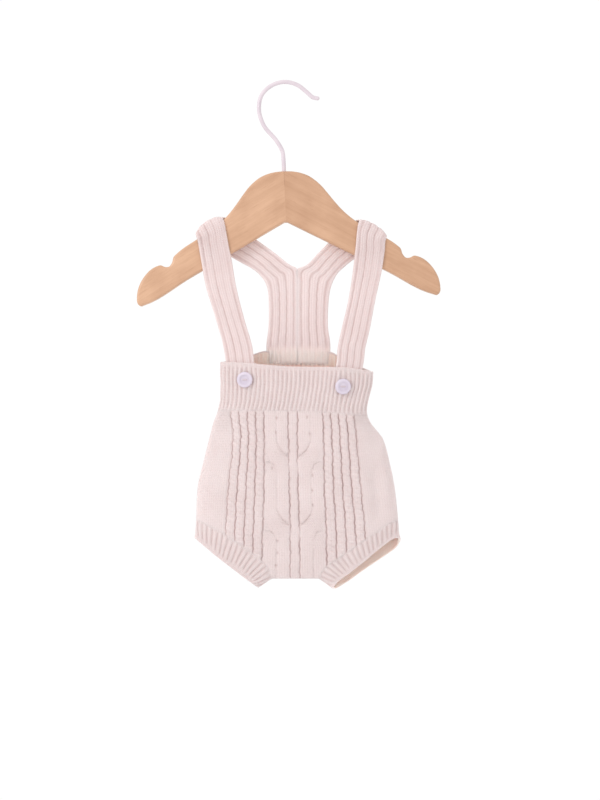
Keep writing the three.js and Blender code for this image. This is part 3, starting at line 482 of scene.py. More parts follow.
def knit_material(name, stitch_depth):
    """Soft cotton knit. Its uv counts wales across and courses up, so the stitches follow the cloth."""
    n = Nodes(name)
    uv = n.add("ShaderNodeUVMap", uv_map="stitches").outputs["UV"]
    split = n.add("ShaderNodeSeparateXYZ", {"Vector": uv}).outputs
    u = n.math("ADD", split["X"], n.patchy(260.0, 1.0, -WALE_STRAY, WALE_STRAY))
    v = n.math("ADD", split["Y"], n.patchy(190.0, 1.0, -COURSE_STRAY, COURSE_STRAY))
    off = n.math("ABSOLUTE", n.math("SUBTRACT", n.math("FRACT", u), 0.5))
    aside = n.math("MULTIPLY", off, 2.0)
    climb = n.math("SUBTRACT", v, n.math("MULTIPLY", aside, STITCH_SLOPE))
    leg = n.math("SINE", n.math("MULTIPLY", n.math("FRACT", climb), math.pi))
    leg = n.math("POWER", leg, 0.7)
    edge = n.math("SUBTRACT", 1.0, n.math("POWER", aside, 4.0))
    middle = n.span(aside, 0.0, 0.25, 0.72, 1.0)
    uneven = n.patchy(520.0, 2.0, 0.55, 1.0)
    stitch = n.math("MULTIPLY", n.math("MULTIPLY", leg, edge), n.math("MULTIPLY", middle, uneven))
    fibre = n.noise(1900.0, 3.0, 0.65)
    height = n.math("MULTIPLY_ADD", fibre, FIBRE_UP, stitch)

    # painted shade from each vertex, where shade falls in grooves, creases and hollows
    hollow = n.add("ShaderNodeAttribute", attribute_name="hollow").outputs["Fac"]
    gap = n.math("MULTIPLY", n.math("SUBTRACT", 1.0, stitch), GAP_SHADE)
    mottle = n.span(n.noise(45.0, 3.0), 0.3, 0.75, 0.0, 0.10)
    speck = n.span(fibre, 0.35, 0.7, -0.04, 0.12)
    dark = n.math("MULTIPLY_ADD", hollow, HOLLOW_SHADE, gap)
    depth = n.math("ADD", dark, n.math("ADD", mottle, speck), clamp=True)
    # painted light: inner faces take the lighter, warmer inside colours, and the same share raises the
    # subsurface weight
    inside = n.add("ShaderNodeAttribute", attribute_name="inside").outputs["Fac"]
    light = n.blend(inside, KNIT_LIGHT, KNIT_INSIDE_PAINTED_LIGHT)
    deep = n.blend(inside, KNIT_DEEP, KNIT_INSIDE_DEEP_PAINTED_LIGHT)
    return n.shade(
        Base_Color=n.blend(depth, light, deep), Normal=n.bump(height, stitch_depth * MM),
        Roughness=0.92, Specular_IOR_Level=0.25,
        Sheen_Weight=0.22, Sheen_Roughness=0.5, Sheen_Tint=KNIT_FUZZ,
        Subsurface_Weight=n.span(inside, 0.0, 1.0, 0.35, 0.85),
        Subsurface_Scale=2.6 * MM, Subsurface_Radius=(1.0, 0.9, 0.87))


WOOD_LIGHT = srgb(218, 174, 141)
WOOD_DARK = srgb(190, 145, 113)
WOOD_FLECK = srgb(176, 128, 96)
WOOD_JOINT = srgb(150, 104, 74)
GRAIN_SLOPE = 0.56          # how steeply the grain falls along either arm
GRAIN_LONG = 0.055          # the grain's scale along an arm beside that across it
GRAIN_DEEP = 0.5            # and front to back
ARMS_APART = 0.37           # the two arms are cut from different places of the wood
# painted shade: the right arm is darker, as the light falls from the left
RIGHT_ARM_PAINTED_SHADE = 0.22
DOME_DARKER = 0.12


def wood_material():
    """Pale beech under satin lacquer, two arms whose grain meets at the middle."""
    n = Nodes("beech")
    split = n.add("ShaderNodeSeparateXYZ", {"Vector": n.place}).outputs
    tilt_cos = math.cos(math.radians(HANGER_TILT))
    tilt_sin = math.sin(math.radians(HANGER_TILT))
    dx = n.math("SUBTRACT", split["X"], HANGER_APEX[0] * MM)
    dz = n.math("SUBTRACT", split["Z"], HANGER_APEX[1] * MM)
    own_x = n.math("ADD", n.math("MULTIPLY", dx, tilt_cos), n.math("MULTIPLY", dz, tilt_sin))
    own_z = n.math("SUBTRACT", n.math("MULTIPLY", dz, tilt_cos), n.math("MULTIPLY", dx, tilt_sin))
    aside = n.math("ABSOLUTE", own_x)
    right = n.span(own_x, -0.1 * MM, 0.1 * MM)
    along = n.math("SUBTRACT", aside, n.math("MULTIPLY", own_z, GRAIN_SLOPE))
    across = n.math("ADD", own_z, n.math("MULTIPLY", aside, GRAIN_SLOPE))
    grain = n.add("ShaderNodeCombineXYZ", {
        "X": n.math("MULTIPLY", along, GRAIN_LONG),
        "Y": n.math("MULTIPLY", split["Y"], GRAIN_DEEP),
        "Z": n.math("ADD", across, n.math("MULTIPLY", right, ARMS_APART)),
    }).outputs["Vector"]
    rings = n.noise(170.0, 4.0, 0.6, grain)
    pores = n.noise(1200.0, 2.0, 0.6, grain)
    tone = n.math("ADD", n.span(rings, 0.32, 0.70, 0.0, 0.5), n.patchy(34.0, 3.0, -0.1, 0.4))
    tone = n.math("ADD", tone, n.span(own_z, -45.0 * MM, -15.0 * MM, 0.0, DOME_DARKER))
    # painted shade on the right arm
    tone = n.math("MULTIPLY_ADD", right, RIGHT_ARM_PAINTED_SHADE, tone, clamp=True)
    base = n.blend(tone, WOOD_LIGHT, WOOD_DARK)
    base = n.blend(n.span(pores, 0.58, 0.74, 0.0, 0.42), base, WOOD_FLECK)
    line = n.math("LESS_THAN", aside, 0.2 * MM)
    line = n.math("MULTIPLY", line, n.span(own_z, -16.0 * MM, -12.0 * MM))
    height = n.math("SUBTRACT", n.math("MULTIPLY", pores, -0.4), line)
    return n.shade(
        Base_Color=n.blend(n.math("MULTIPLY", line, 0.5), base, WOOD_JOINT),
        Roughness=n.span(rings, 0.3, 0.7, 0.40, 0.52), Normal=n.bump(height, 0.12 * MM, 0.6),
        Coat_Weight=0.25, Coat_Roughness=0.3)


def plastic_material():
    """Milky lilac-white plastic, faintly clouded."""
    n = Nodes("milky_plastic")
    cloud = n.noise(220.0, 3.0)
    return n.shade(
        Base_Color=n.blend(n.span(cloud, 0.3, 0.7), srgb(222, 212, 224), srgb(212, 200, 215)),
        Roughness=n.span(cloud, 0.3, 0.7, 0.20, 0.32), Normal=n.bump(n.noise(900.0), 0.03 * MM, 0.4),
        Coat_Weight=0.2, Coat_Roughness=0.2, Specular_IOR_Level=0.35)


def thread_material():
    """Twisted sewing thread."""
    n = Nodes("thread")
    twist = n.noise(3200.0)
    colour = n.blend(twist, srgb(236, 222, 226), srgb(216, 200, 206))
    return n.shade(Base_Color=colour, Normal=n.bump(twist, 0.05 * MM), Roughness=0.8)


def wire_material():
    """White coated steel wire, a little uneven where it was dipped."""
    n = Nodes("coated_wire")
    return n.shade(
        Base_Color=n.blend(n.patchy(70.0, 3.0), srgb(226, 213, 219), srgb(210, 196, 204)),
        Roughness=n.patchy(420.0, 2.0, 0.22, 0.36), Normal=n.bump(n.noise(500.0), 0.05 * MM, 0.35),
        Coat_Weight=0.5, Coat_Roughness=0.15)


PANEL_KNIT = knit_material("panel_knit", 0.5)
RIB_KNIT = knit_material("rib_knit", 0.55)
STRAP_KNIT = knit_material("strap_knit", 0.3)
BEECH = wood_material()
PLASTIC = plastic_material()
THREAD = thread_material()
WIRE = wire_material()

COURSE = 1.6                # height of one course of stitches

# ---- front and back panels --------------------------------------------------------------------
PLACES = len(LINES) - 1
WALES_AT = np.array([0, 14, 30, 41, 45, 56, 72, 87])   # wales counted from the left at each line
TUCK = 1.8                  # how far a panel's edges run on under the band and the cuffs
TUCK_SINK = 0.5             # and how far they sink there
HIP_Z = -432                # where the leg seams reach the sides
WAIST_Z = -325              # the search for a panel's upper edge starts here
LOW_Z = -460.0              # and the one for its lower edge here
SEEK_ROUNDS = 6             # rounds in which a line and the panel's edge find each other


def line_x(place, z):
    """x at a place across the front: the whole part counts the lines, the rest goes on to the next."""
    place, z = np.broadcast_arrays(place, z)
    i = np.clip(np.floor(place).astype(int), 0, PLACES - 1)
    values = np.stack([line(z) for line in LINES])
    low = np.take_along_axis(values, i[None], 0)[0]
    high = np.take_along_axis(values, i[None] + 1, 0)[0]
    return mix(low, high, place - i)


def lower_edge_of(x, side):
    """z of a panel's lower edge; the back of the right leg hangs lower."""
    z = lower_edge_at(x)
    if side < 0:
        return z
    along = (x - CROTCH["right"]) / (right_at(HIP_Z) - CROTCH["right"])
    return z - RIGHT_BACK_DROP * np.sin(math.pi * np.clip(along, 0, 1))


def panel_grid(places, downs, side):
    """Points, normals and heights of a panel's surface; downs are 0 at the band and 1 at the lower edge."""
    place = places[None, :]
    x = line_x(place, LOW_Z)
    low = lower_edge_of(x, side)
    for _ in range(SEEK_ROUNDS):
        x = line_x(place, low)
        low = lower_edge_of(x, side)
    high = np.full_like(low, WAIST_Z)
    top = band_edge_at["front_bottom" if side < 0 else "back_bottom"]
    for _ in range(SEEK_ROUNDS):
        high = top(across_at(line_x(place, high), high)) - SEAM / 2
    z = mix(high, low, downs[:, None])
    x = line_x(np.broadcast_to(place, z.shape), z)
    point, normal = body_point(x, z, side)
    return point, normal, high - z, z - low


# The two strands of a cable, 0 beside the ribs and 1 beside the centre. Each in turn crosses over
# the other; at, half and high are a strand's middle, half width and height.
STRANDS = [
    table(
        "z at half high",
        (-326, 0.25, 0.24, 0.0), (-352, 0.25, 0.24, 0.0), (-359, 0.32, 0.25, 0.35),
        (-366, 0.47, 0.27, 0.6), (-373, 0.63, 0.27, 0.65), (-379, 0.72, 0.26, 0.5),
        (-387, 0.76, 0.25, 0.2), (-400, 0.76, 0.25, 0.1), (-422, 0.76, 0.25, 0.05),
        (-432, 0.74, 0.24, -0.1), (-440, 0.62, 0.24, -0.35), (-448, 0.44, 0.24, -0.4),
        (-456, 0.30, 0.24, -0.1), (-464, 0.25, 0.24, 0.0), (-491, 0.25, 0.24, 0.0),
    ),
    table(
        "z at half high",
        (-326, 0.76, 0.25, 0.1), (-354, 0.76, 0.25, 0.05), (-364, 0.74, 0.24, -0.1),
        (-371, 0.64, 0.24, -0.35), (-378, 0.46, 0.24, -0.4), (-385, 0.32, 0.24, -0.15),
        (-392, 0.26, 0.24, 0.0), (-419, 0.25, 0.24, 0.0), (-426, 0.32, 0.25, 0.35),
        (-433, 0.47, 0.27, 0.6), (-440, 0.63, 0.27, 0.65), (-446, 0.72, 0.26, 0.5),
        (-454, 0.76, 0.25, 0.2), (-466, 0.76, 0.25, 0.1), (-491, 0.76, 0.25, 0.0),
    ),
]
STRAND_PATHS = [[curve_through(s, "z", name) for name in ("at", "half", "high")] for s in STRANDS]
STRAND_ROUND = 0.55         # how far a strand's middle stands above its edges
STRAND_SOFT = 0.6           # how gently one strand runs into the other
CREASE = 0.4                # depth of the crease between two strands
CREASE_WIDE = 0.55          # the strands' heights differ by less than this in a crease
CABLE_WIDE = 24             # a cable's rough width in mm
CABLE_WALES = 11            # wales across a cable
CABLE_WALE_UP = 0.4         # how far they stand out where the strands cross
WALE_SHADE = 0.7            # and how dark it is between them
CROSSINGS = (-369.0, -435.0)
CROSSING_HALF = 11          # half height of a crossing
CREASE_LEAST = 0.15         # share of a crease that is left away from the crossings
CREASE_STITCH = 0.3         # how much the stitches break it up
LOWEST = -0.1               # a cable goes no deeper than this before its creases
# pinholes the crossings pull open between the strands of either cable (2 left, 4 right)
EYELETS = table(
    "cable z at",
    (2, -331.5, 0.54), (2, -346.0, 0.49), (2, -381.0, 0.33), (2, -452.6, 0.55), (2, -464.8, 0.55),
    (2, -477.6, 0.50), (4, -331.0, 0.62), (4, -347.2, 0.54), (4, -388.2, 0.44), (4, -403.0, 0.46),
    (4, -417.2, 0.47),
)
EYELET_TALL = 1.5           # its half height; its half width is 1 mm
EYELET_DEEP = 0.7
EYELET_SHADE = 0.6


def strand_heights(at, z):
    """Heights of the two strands at the places at across a cable."""
    return [high(z) + STRAND_ROUND * (1 - np.abs((at - path(z)) / half(z)) ** 2.5)
            for path, half, high in STRAND_PATHS]


def upper_strand_at(at, z):
    """Where the middle of the strand that lies on top runs."""
    first, second = strand_heights(at, z)
    return np.where(first > second, STRAND_PATHS[0][0](z), STRAND_PATHS[1][0](z))


def cable_relief(at, z):
    """Height of a cable and the painted shade in its creases and between its wales; a crease runs wherever
    its two strands meet.
    """
    first, second = strand_heights(at, z)
    height = (first + second + np.hypot(first - second, STRAND_SOFT)) / 2
    height = np.maximum(height, LOWEST) - LOWEST
    crossing = sum(bell(z - middle, CROSSING_HALF) for middle in CROSSINGS)
    meet = bell(first - second, CREASE_WIDE) * smooth((np.maximum(first, second) + 0.35) / 0.3)
    stitched = 1 - CREASE_STITCH + CREASE_STITCH * wave(z / (2 * COURSE) + 3 * at, 1)
    crease = meet * np.clip(mix(CREASE_LEAST, 1, crossing), 0, 1) * stitched
    wale = np.abs(np.sin(math.pi * CABLE_WALES * (at - upper_strand_at(at, z))))
    slanted = crossing * stitched
    height += CABLE_WALE_UP * (wale - 0.6) * slanted
    return height - CREASE * crease, crease + WALE_SHADE * (1 - wale) ** 2 * slanted


# parts of the front between its lines, counted from the left
LEFT_RIBS, LEFT_CABLE, COLUMN, RIGHT_CABLE, RIGHT_RIBS = range(1, 6)
RIBS_PER_GROUP = 4
RIB_TOP = 0.85
RIB_SHADE = 0.3             # how dark a rib is between its turns
TWIST_PITCH = 5.2           # one turn of a twisted rib
LUMP_UP = 0.26              # how far each turn stands out
RIB_LEAN = 0.45             # how far it leans, in turns from the rib's middle to its flank
KNOT_PITCH = 3.3            # smaller lumps that lean the other way
KNOT_LEAN = -0.6
KNOT_UP = 0.12
COLUMN_UP = 0.5             # the centre column
COLUMN_PITCH = 6.1
COLUMN_WAVE = 0.08
CABLE_SHADE = 0.42
CABLE_BORDER = 0.06         # share of its width over which a cable rises from its edges
GROOVE = 0.95               # how far a groove cuts below the ribs' flanks
GROOVE_HALF = 0.95          # half width
GROOVE_SHADE = 0.64
LEFT_GROOVES_PAINTED_SHADE = 0.8          # the painted shade in the grooves on the left is lighter, as the light falls from the left
GROOVE_PLACES = [LEFT_RIBS + k / RIBS_PER_GROUP for k in range(RIBS_PER_GROUP + 1)]
GROOVE_PLACES += [COLUMN, COLUMN + 1] + [place + RIGHT_RIBS - LEFT_RIBS for place in GROOVE_PLACES]
GROOVE_UNEVEN = 0.12        # how much deeper or shallower it gets along its way
GROOVE_REACH = 3.4          # how far beside a groove its wandering pulls the stitches
# the grooves beside the centre column: how much the strand that crosses there fills them
FILLED = table("z half share", (-380, 6.5, 0.85), (-446, 5.5, 0.75))
COLUMN_FADE = {"from": -462, "over": 12, "by": 0.45}    # and how they run out towards the crotch


def groove_sway(number, z):
    """How far a groove strays sideways from its line."""
    turn = 2.4 * number
    return 0.24 * wave(z, 5.3, turn) + 0.32 * wave(z, 9.1, 1.7 * turn) + 0.32 * wave(z, 27.0, 2.9 * turn)


def from_grooves(x, z):
    """Signed distances from every groove's line."""
    return [x - line_x(place, z) for place in GROOVE_PLACES]


def sway(x, z):
    """How far the stitches at x stray sideways with the grooves beside them."""
    drift = np.zeros(x.shape)
    for number, off in enumerate(from_grooves(x, z)):
        drift += groove_sway(number, z) * np.clip(1 - np.abs(off) / GROOVE_REACH, 0, 1)
    return drift


def front_relief(place, x, z):
    """Height of the front's knit over plain knit, and the painted shade in its grooves, creases and pits
    and between the turns of its ribs.
    """
    i = np.clip(np.floor(place).astype(int), 0, PLACES - 1)
    part = place - i
    ribs = (i == LEFT_RIBS) | (i == RIGHT_RIBS)
    raw = part * RIBS_PER_GROUP
    number = np.clip(np.floor(raw), 0, RIBS_PER_GROUP - 1)
    within = 2 * (raw - number) - 1
    crest = (1 - np.clip(np.abs(within), 0, 1) ** 2.6) ** 0.6
    lump = LUMP_UP * wave(z / TWIST_PITCH + within * RIB_LEAN, 1, 1.9 * number + i)
    lump += KNOT_UP * wave(z / KNOT_PITCH + within * KNOT_LEAN, 1, 2.7 * number)
    relief = np.where(ribs, RIB_TOP * crest + lump * crest, 0.0)
    hollow = np.where(ribs, RIB_SHADE * np.clip(-lump, 0, 1), 0.0)

    column = COLUMN_UP * (1 - np.abs(2 * part - 1) ** 4) + COLUMN_WAVE * wave(z, COLUMN_PITCH)
    relief = np.where(i == COLUMN, column, relief)

    at = np.where(i == LEFT_CABLE, part, 1 - part)
    cable, crease = cable_relief(at, z)
    border = between(at, 0, 1, CABLE_BORDER, CABLE_BORDER)
    in_cable = (i == LEFT_CABLE) | (i == RIGHT_CABLE)
    relief = np.where(in_cable, cable * border, relief)
    hollow = np.where(in_cable, CABLE_SHADE * crease * border, hollow)
    for cable_number, pit_z, pit_at in rows_of(EYELETS):
        away = np.hypot((at - pit_at) * CABLE_WIDE, (z - pit_z) / EYELET_TALL)
        pit = bell(away) * (i == cable_number)
        relief -= EYELET_DEEP * pit
        hollow += EYELET_SHADE * pit

    fill = sum(share * bell(z - fill_z, half) for fill_z, half, share in rows_of(FILLED))
    fade = 1 - COLUMN_FADE["by"] * smooth((COLUMN_FADE["from"] - z) / COLUMN_FADE["over"])
    for number, off in enumerate(from_grooves(x, z)):
        cut = np.exp(-(np.abs(off) / GROOVE_HALF) ** 2.4)
        if GROOVE_PLACES[number] in (COLUMN, COLUMN + 1):
            cut = cut * np.clip(0.9 - fill, 0, 1) * fade
        cut = cut * (1 + GROOVE_UNEVEN * wave(z, 31, 2.1 * number))
        relief = relief - GROOVE * cut
        # painted shade in the grooves, lighter on the left where the light falls
        hollow = hollow + GROOVE_SHADE * cut * (LEFT_GROOVES_PAINTED_SHADE if GROOVE_PLACES[number] < COLUMN else 1.0)
    return relief, np.clip(hollow, 0, 1)


def plain_relief(place, _x, _z):
    return np.zeros(place.shape), np.zeros(place.shape)


FRONT_RIPPLES = Ripples(11, 60, 17)
BACK_RIPPLES = Ripples(23, 55, 16)


def wales_uv(place, z, side):
    """Wales across and courses up; in the front's cables the wales follow the upper strand."""
    u = np.interp(place, np.arange(PLACES + 1), WALES_AT)
    if side < 0:
        i = np.clip(np.floor(place).astype(int), 0, PLACES - 1)
        at = np.where(i == LEFT_CABLE, place - i, 1 - place + i)
        along = CABLE_WALES * (at - upper_strand_at(at, z)) * np.where(i == LEFT_CABLE, 1, -1) + 0.5
        u = np.where((i == LEFT_CABLE) | (i == RIGHT_CABLE), WALES_AT[2] + along, u)
    return uv_grid(u, z / COURSE)


RIB_GATHER = 0.55           # how much closer the places lie in the grooves
FINE_FROM = 0.93            # share of a panel's height below which its rows lie closer
PANEL_TALL = 160            # its rough height, which turns mm into shares of it
RIPPLE = 0.35               # height of a panel's ripples
PANEL_PAINTED_INSIDE_LIGHT = 0.6          # how far its inner face takes on the painted inside light
SEAM_RELIEF = 0.35          # share of its painted shade left at the seams
SIDE_EDGE = 0.06            # its relief grows over this much of a place at the sides
FOLD_SIDE = 0.05            # the folds begin this far from the sides
FOLD_GROW = {"side": 0.25, "top": 14, "bottom": 12}     # and grow over these, places and mm


def ribbed_places(count):
    """Places across one group of ribs, closer in its grooves."""
    t = np.linspace(0, RIBS_PER_GROUP, count, endpoint=False)
    return (t - RIB_GATHER * wave(t, 1) / (2 * math.pi)) / RIBS_PER_GROUP


def panel(name, side, places, row_count, relief_at, folds, ripples):
    """A panel's piece, and the points and normals along its lower edge."""
    reach = TUCK / PANEL_TALL
    downs = np.concatenate([
        [-reach, -reach / 2], np.linspace(0, FINE_FROM, row_count),
        np.linspace(FINE_FROM, 1, row_count // 6)[1:],
    ])

    def layer(p, d, inside):
        point, normal, below, above = panel_grid(p, d, side)
        x = point[..., 0]
        z = point[..., 2]
        place = np.broadcast_to(p[None, :], z.shape)
        sides = between(place, FOLD_SIDE, PLACES - FOLD_SIDE, FOLD_GROW["side"], FOLD_GROW["side"])
        ends = sides * smooth((below - 2) / FOLD_GROW["top"]) * smooth((above - 1) / FOLD_GROW["bottom"])
        lift = ends * (folded(x, z, folds) + RIPPLE * ripples.at(x, z))
        uv = wales_uv(place, z, side)
        if inside:
            # the inner face: no painted shade, and painted inside light
            return point + normal * (lift - WALL)[..., None], uv, 0.0, PANEL_PAINTED_INSIDE_LIGHT
        relief, hollow = relief_at(place, x, z)
        near_side = between(place, 0, PLACES, SIDE_EDGE, SIDE_EDGE)
        joined = smooth((below + 0.3) / 3.0) * smooth((above + 0.3) / 2.0)
        height = np.where(d[:, None] < 0, -TUCK_SINK, relief * near_side * joined + lift)
        if side < 0:
            point = point + np.stack([sway(x, z) * joined, 0 * x, 0 * x], axis=-1)
        return point + normal * height[..., None], uv, hollow * mix(SEAM_RELIEF, 1, joined)

    in_places = thinned(places, 4)
    in_downs = thinned(downs, 5)
    piece = wall(name, PANEL_KNIT, layer(places, downs, False), layer(in_places, in_downs, True),
                 (places, in_places, downs, in_downs))
    point, normal, _, _ = panel_grid(places, np.array([1.0]), side)
    return piece, (point[0], normal[0])


FRONT_PLACES = np.concatenate([
    np.linspace(0, 1, 26, endpoint=False), LEFT_RIBS + ribbed_places(72),
    LEFT_CABLE + np.linspace(0, 1, 70, endpoint=False), COLUMN + np.linspace(0, 1, 24, endpoint=False),
    RIGHT_CABLE + np.linspace(0, 1, 70, endpoint=False), RIGHT_RIBS + ribbed_places(72),
    RIGHT_RIBS + 1 + np.linspace(0, 1, 27),
])
BACK_PLACES = np.linspace(0, PLACES, 141)
front_panel, front_edge = panel(
    "front_panel_knit", -1, FRONT_PLACES, 205, front_relief, FRONT_FOLDS, FRONT_RIPPLES)
back_panel, back_edge = panel(
    "back_panel_knit", 1, BACK_PLACES, 110, plain_relief, BACK_FOLDS, BACK_RIPPLES)

# ---- waistband --------------------------------------------------------------------------------
BAND_ROLL = 3.4             # plain rolled edge on top
BAND_TALL = 46.0
ROLL_FULL = 0.25            # that edge is this much fuller than half the wall
BAND_WAVE = 0.30            # height of its ripples
BUTTONS = table("x z", (-39.9, -294.0), (56.7, -300.7))
BUTTON_PUSH = 1.7           # how far the ribs bow round a button
BUTTON_PULL = 13.0          # and how far from it they still do
BAND_PITCH = 4.3            # one rib's width
BAND_PER_RIB = 8            # columns in one rib
MEASURED_STEPS = 2401       # places at which the band's length is measured
BAND_ROWS = 62
ROLL_ROWS = 9               # round its rolled edge
BAND_RIB = 0.55             # how far a rib stands out
BAND_GROOVE = -0.35         # and how far the groove beside it sinks
BAND_STITCH = 0.14          # the stitches of a rib
BAND_END = 0.55             # share of the relief left at its lower end
ROLL_RELIEF = (-0.10, 0.12)             # the ribs as they fade into the rolled edge
ROLL_UP = 0.30              # and how far that bulges
ROLL_SHADE = 0.12
GROOVE_SHADES = (0.45, 0.75)            # how dark the grooves are, from the shallowest to the deepest
INSIDE_RIB = 0.65           # how far a rib stands out on the inside
BAND_DEEP_SHADE = 0.9       # how dark its inside is deep down


def band_grid(places, downs, side):
    """Points and normals of the band's surface, closer together at the side seams."""
    turn = (places[None, :] - 0.5) * math.pi
    across = np.sign(np.sin(turn)) * np.abs(np.sin(turn)) ** (2 / ROUNDNESS)
    names = ("front_top", "front_bottom") if side < 0 else ("back_top", "back_bottom")
    z = mix(band_edge_at[names[0]](across), band_edge_at[names[1]](across), downs[:, None])
    x = centre_at(z) + across * half_width_at(z)
    return body_point(x, z, side)


def even_places(count, side):
    """Places in equal steps along the middle of the band."""
    fine = np.linspace(0, 1, MEASURED_STEPS)
    point, _ = band_grid(fine, np.array([0.5]), side)
    along = lengths_along(point[0])
    return np.interp(np.linspace(0, along[-1], count + 1), along, fine)


def band_rib(within):
    """A narrow knit rib with a soft purl groove on either side, 0 to 1."""
    return np.clip(0.5 - 0.5 * np.cos(2 * math.pi * within), 0, 1) ** 0.75


def cuff_rib(within):
    """A broad knit rib between narrow grooves, 0 to 1."""
    return 1 - bell(np.minimum(within, 1 - within), 0.165)


BAND_RIPPLES = {-1: Ripples(5, 70, 12), 1: Ripples(9, 70, 12)}


def waistband(name, side):
    """One half of the band: ribs under a rolled edge, bowing round the buttons in front."""
    places = even_places(BAND_RIBS * BAND_PER_RIB, side)
    count = np.linspace(0, BAND_RIBS, len(places))

    def bare(p, ribs_at, d_mm):
        """The band before its ribs: points, normals, slack, lift and uv."""
        point, normal = band_grid(p, d_mm / BAND_TALL, side)
        slack = BAND_RIPPLES[side].at(point[..., 0], point[..., 2])
        ends = smooth(np.minimum(ribs_at, BAND_RIBS - ribs_at) / 0.5)[None, :]
        uv = uv_grid(2 * ribs_at + 0.5, point[..., 2] / COURSE)
        return point, normal, slack, BAND_WAVE * slack * ends, uv

    # down the band in mm: over the rolled top, then down the ribs to the lower edge
    half = WALL / 2
    turn = np.linspace(math.pi, 0, ROLL_ROWS)
    over = [(half * (1 - math.sin(a)) * 0.9, -half + (half + ROLL_FULL) * math.cos(a)) for a in turn]
    rest = np.linspace(over[-1][0] + 0.7, BAND_TALL, BAND_ROWS)
    down_mm = np.array([d for d, _ in over] + list(rest))
    d = down_mm[:, None]
    shell = np.array([h for _, h in over] + [ROLL_FULL] * len(rest))[:, None]
    point, normal, slack, lift, uv = bare(places, count, down_mm)
    x = point[..., 0]
    z = point[..., 2]
    rib = np.broadcast_to(count[None, :], z.shape).copy()
    if side < 0:
        for bx, bz in rows_of(BUTTONS):
            away = np.hypot(x - bx, z - bz)
            push = BUTTON_PUSH * bell(away, BUTTON_PULL) * (x - bx) / np.maximum(away, 2.0)
            rib -= push * smooth(away / 5) / BAND_PITCH
    rib += 0.05 * slack
    ribbed = smooth((d - BAND_ROLL + 0.6 * slack) / 1.6)
    ribbed = ribbed * mix(1.0, BAND_END, smooth((d - BAND_TALL + 5 + 2.5 * slack) / 5))
    profile = band_rib(rib % 1.0)
    number = np.floor(rib)
    uneven = 0.5 + 0.5 * wave(z, 23, 2.4 * number) * np.sin(1.3 * number + z / 9)
    dots = wave(z, 2 * COURSE, 2.2 * number)
    knit = mix(BAND_GROOVE * mix(0.6, 1.0, uneven), BAND_RIB + BAND_STITCH * dots, profile)
    plain = mix(*ROLL_RELIEF, profile) + ROLL_UP * np.sin(math.pi * np.clip(d / BAND_ROLL, 0, 1))
    lip = smooth((BAND_TALL - d) / 1.6)
    outside = smooth((shell + half) / (half * 1.3))
    height = shell - ROLL_FULL + outside * mix(plain, knit, ribbed) * mix(0.35, 1, lip)
    groove = mix(*GROOVE_SHADES, uneven) * (1 + 0.3 * dots)
    hollow = mix(ROLL_SHADE, groove, ribbed) * (1 - smooth(profile / 0.55)) * outside
    outer = (point + normal * (height + lift)[..., None], uv, hollow)

    in_places = places[::2]
    in_count = count[::2]
    in_down_mm = np.concatenate([[down_mm[0] + 0.8], np.linspace(3.0, BAND_TALL, 20)])
    in_d = in_down_mm[:, None]
    point, normal, _, lift, uv = bare(in_places, in_count, in_down_mm)
    rib = band_rib(in_count % 1.0)[None, :] * smooth((in_d - BAND_ROLL + 1.6) / 1.6)
    # painted shade between the inner ribs and deeper down inside, and painted inside light on the whole
    # inner face
    hollow = ROLL_SHADE * (1 - rib) + BAND_DEEP_SHADE * smooth((in_d - 12) / 6)
    depth = -WALL - INSIDE_RIB * rib + lift
    inner = (point + normal * depth[..., None], uv, hollow, 1.0)
    return wall(name, RIB_KNIT, outer, inner, (places, in_places, down_mm, in_down_mm))


front_band = waistband("front_waistband_knit", -1)
back_band = waistband("back_waistband_knit", 1)

# ---- leg cuffs --------------------------------------------------------------------------------
# hem corners at the hip and at the crotch, and how far the hem lifts over the line between them
CUFFS = {
    "left": {
        "hip": (-90.2, -451.0), "tip": (-27.2, -500.6),
        "lift": table(
            "f front back",
            (0, 0, 0), (0.25, -0.4, -0.9), (0.5, -0.6, -1.2), (0.75, -0.4, -0.8), (1, 0, 0),
        ),
    },
    "right": {
        "hip": (114.4, -453.0), "tip": (47.4, -501.4),
        "lift": table(
            "f front back",
            (0, 0, 0), (0.008, 1.6, -1.8), (0.02, 2.9, -3.0), (0.04, 4.2, -4.2), (0.10, 6.5, -5.6),
            (0.17, 7.5, -5.6), (0.36, 6.8, -5.1), (0.53, 5.3, -4.5), (0.73, 4.3, -4.3),
            (0.88, 4.0, -3.4), (0.96, 2.9, -2.2), (1, 0, 0),
        ),
    },
}
HEM_DEPTH = 11.1            # half depth of the hem at the hip end
HEM_TIP_DEPTH = 0.72        # and the share of it left at the tip
HEM_OVAL = 2.4              # exponent of the hem's section
CUFF_PER_RIB = 10           # columns in one rib
CUFF_ROWS = 34              # rows down a cuff
HEM_ROWS = 9                # rows round the turned hem
CUFF_INSIDE_ROWS = 9
CUFF_RIB = 0.5              # how far a rib stands out
CUFF_GROOVE = -0.45         # and how far the groove beside it sinks
CUFF_RIB_UNEVEN = 0.10      # every other rib ends up to this much higher
HEM_UP = 0.35               # how far the plain hem bulges
HEM_RIB = 0.12              # and what is left of the ribs on it
CUFF_PLAIN = 0.89           # the ribs end and the plain hem begins this far down
HEM_TURN = 0.8              # the hem turns over as an oval, this tall beside its width
CUFF_WAVE = 0.25            # height of its ripples
CUFF_SHADE = 0.62           # how dark its grooves are
HEM_SHADE = 0.5             # the turned edge of the back lies in its own shade
CUFF_DEEP_SHADE = 0.12      # and so does the inside
HIP_SHADE = 0.6             # most of all at the hip end
HEM_LEAN = 0.07             # how far the ribs lean towards the crotch on their way down


CROTCH_REACH = 0.6          # a leg's seam runs on this far into the crotch fold


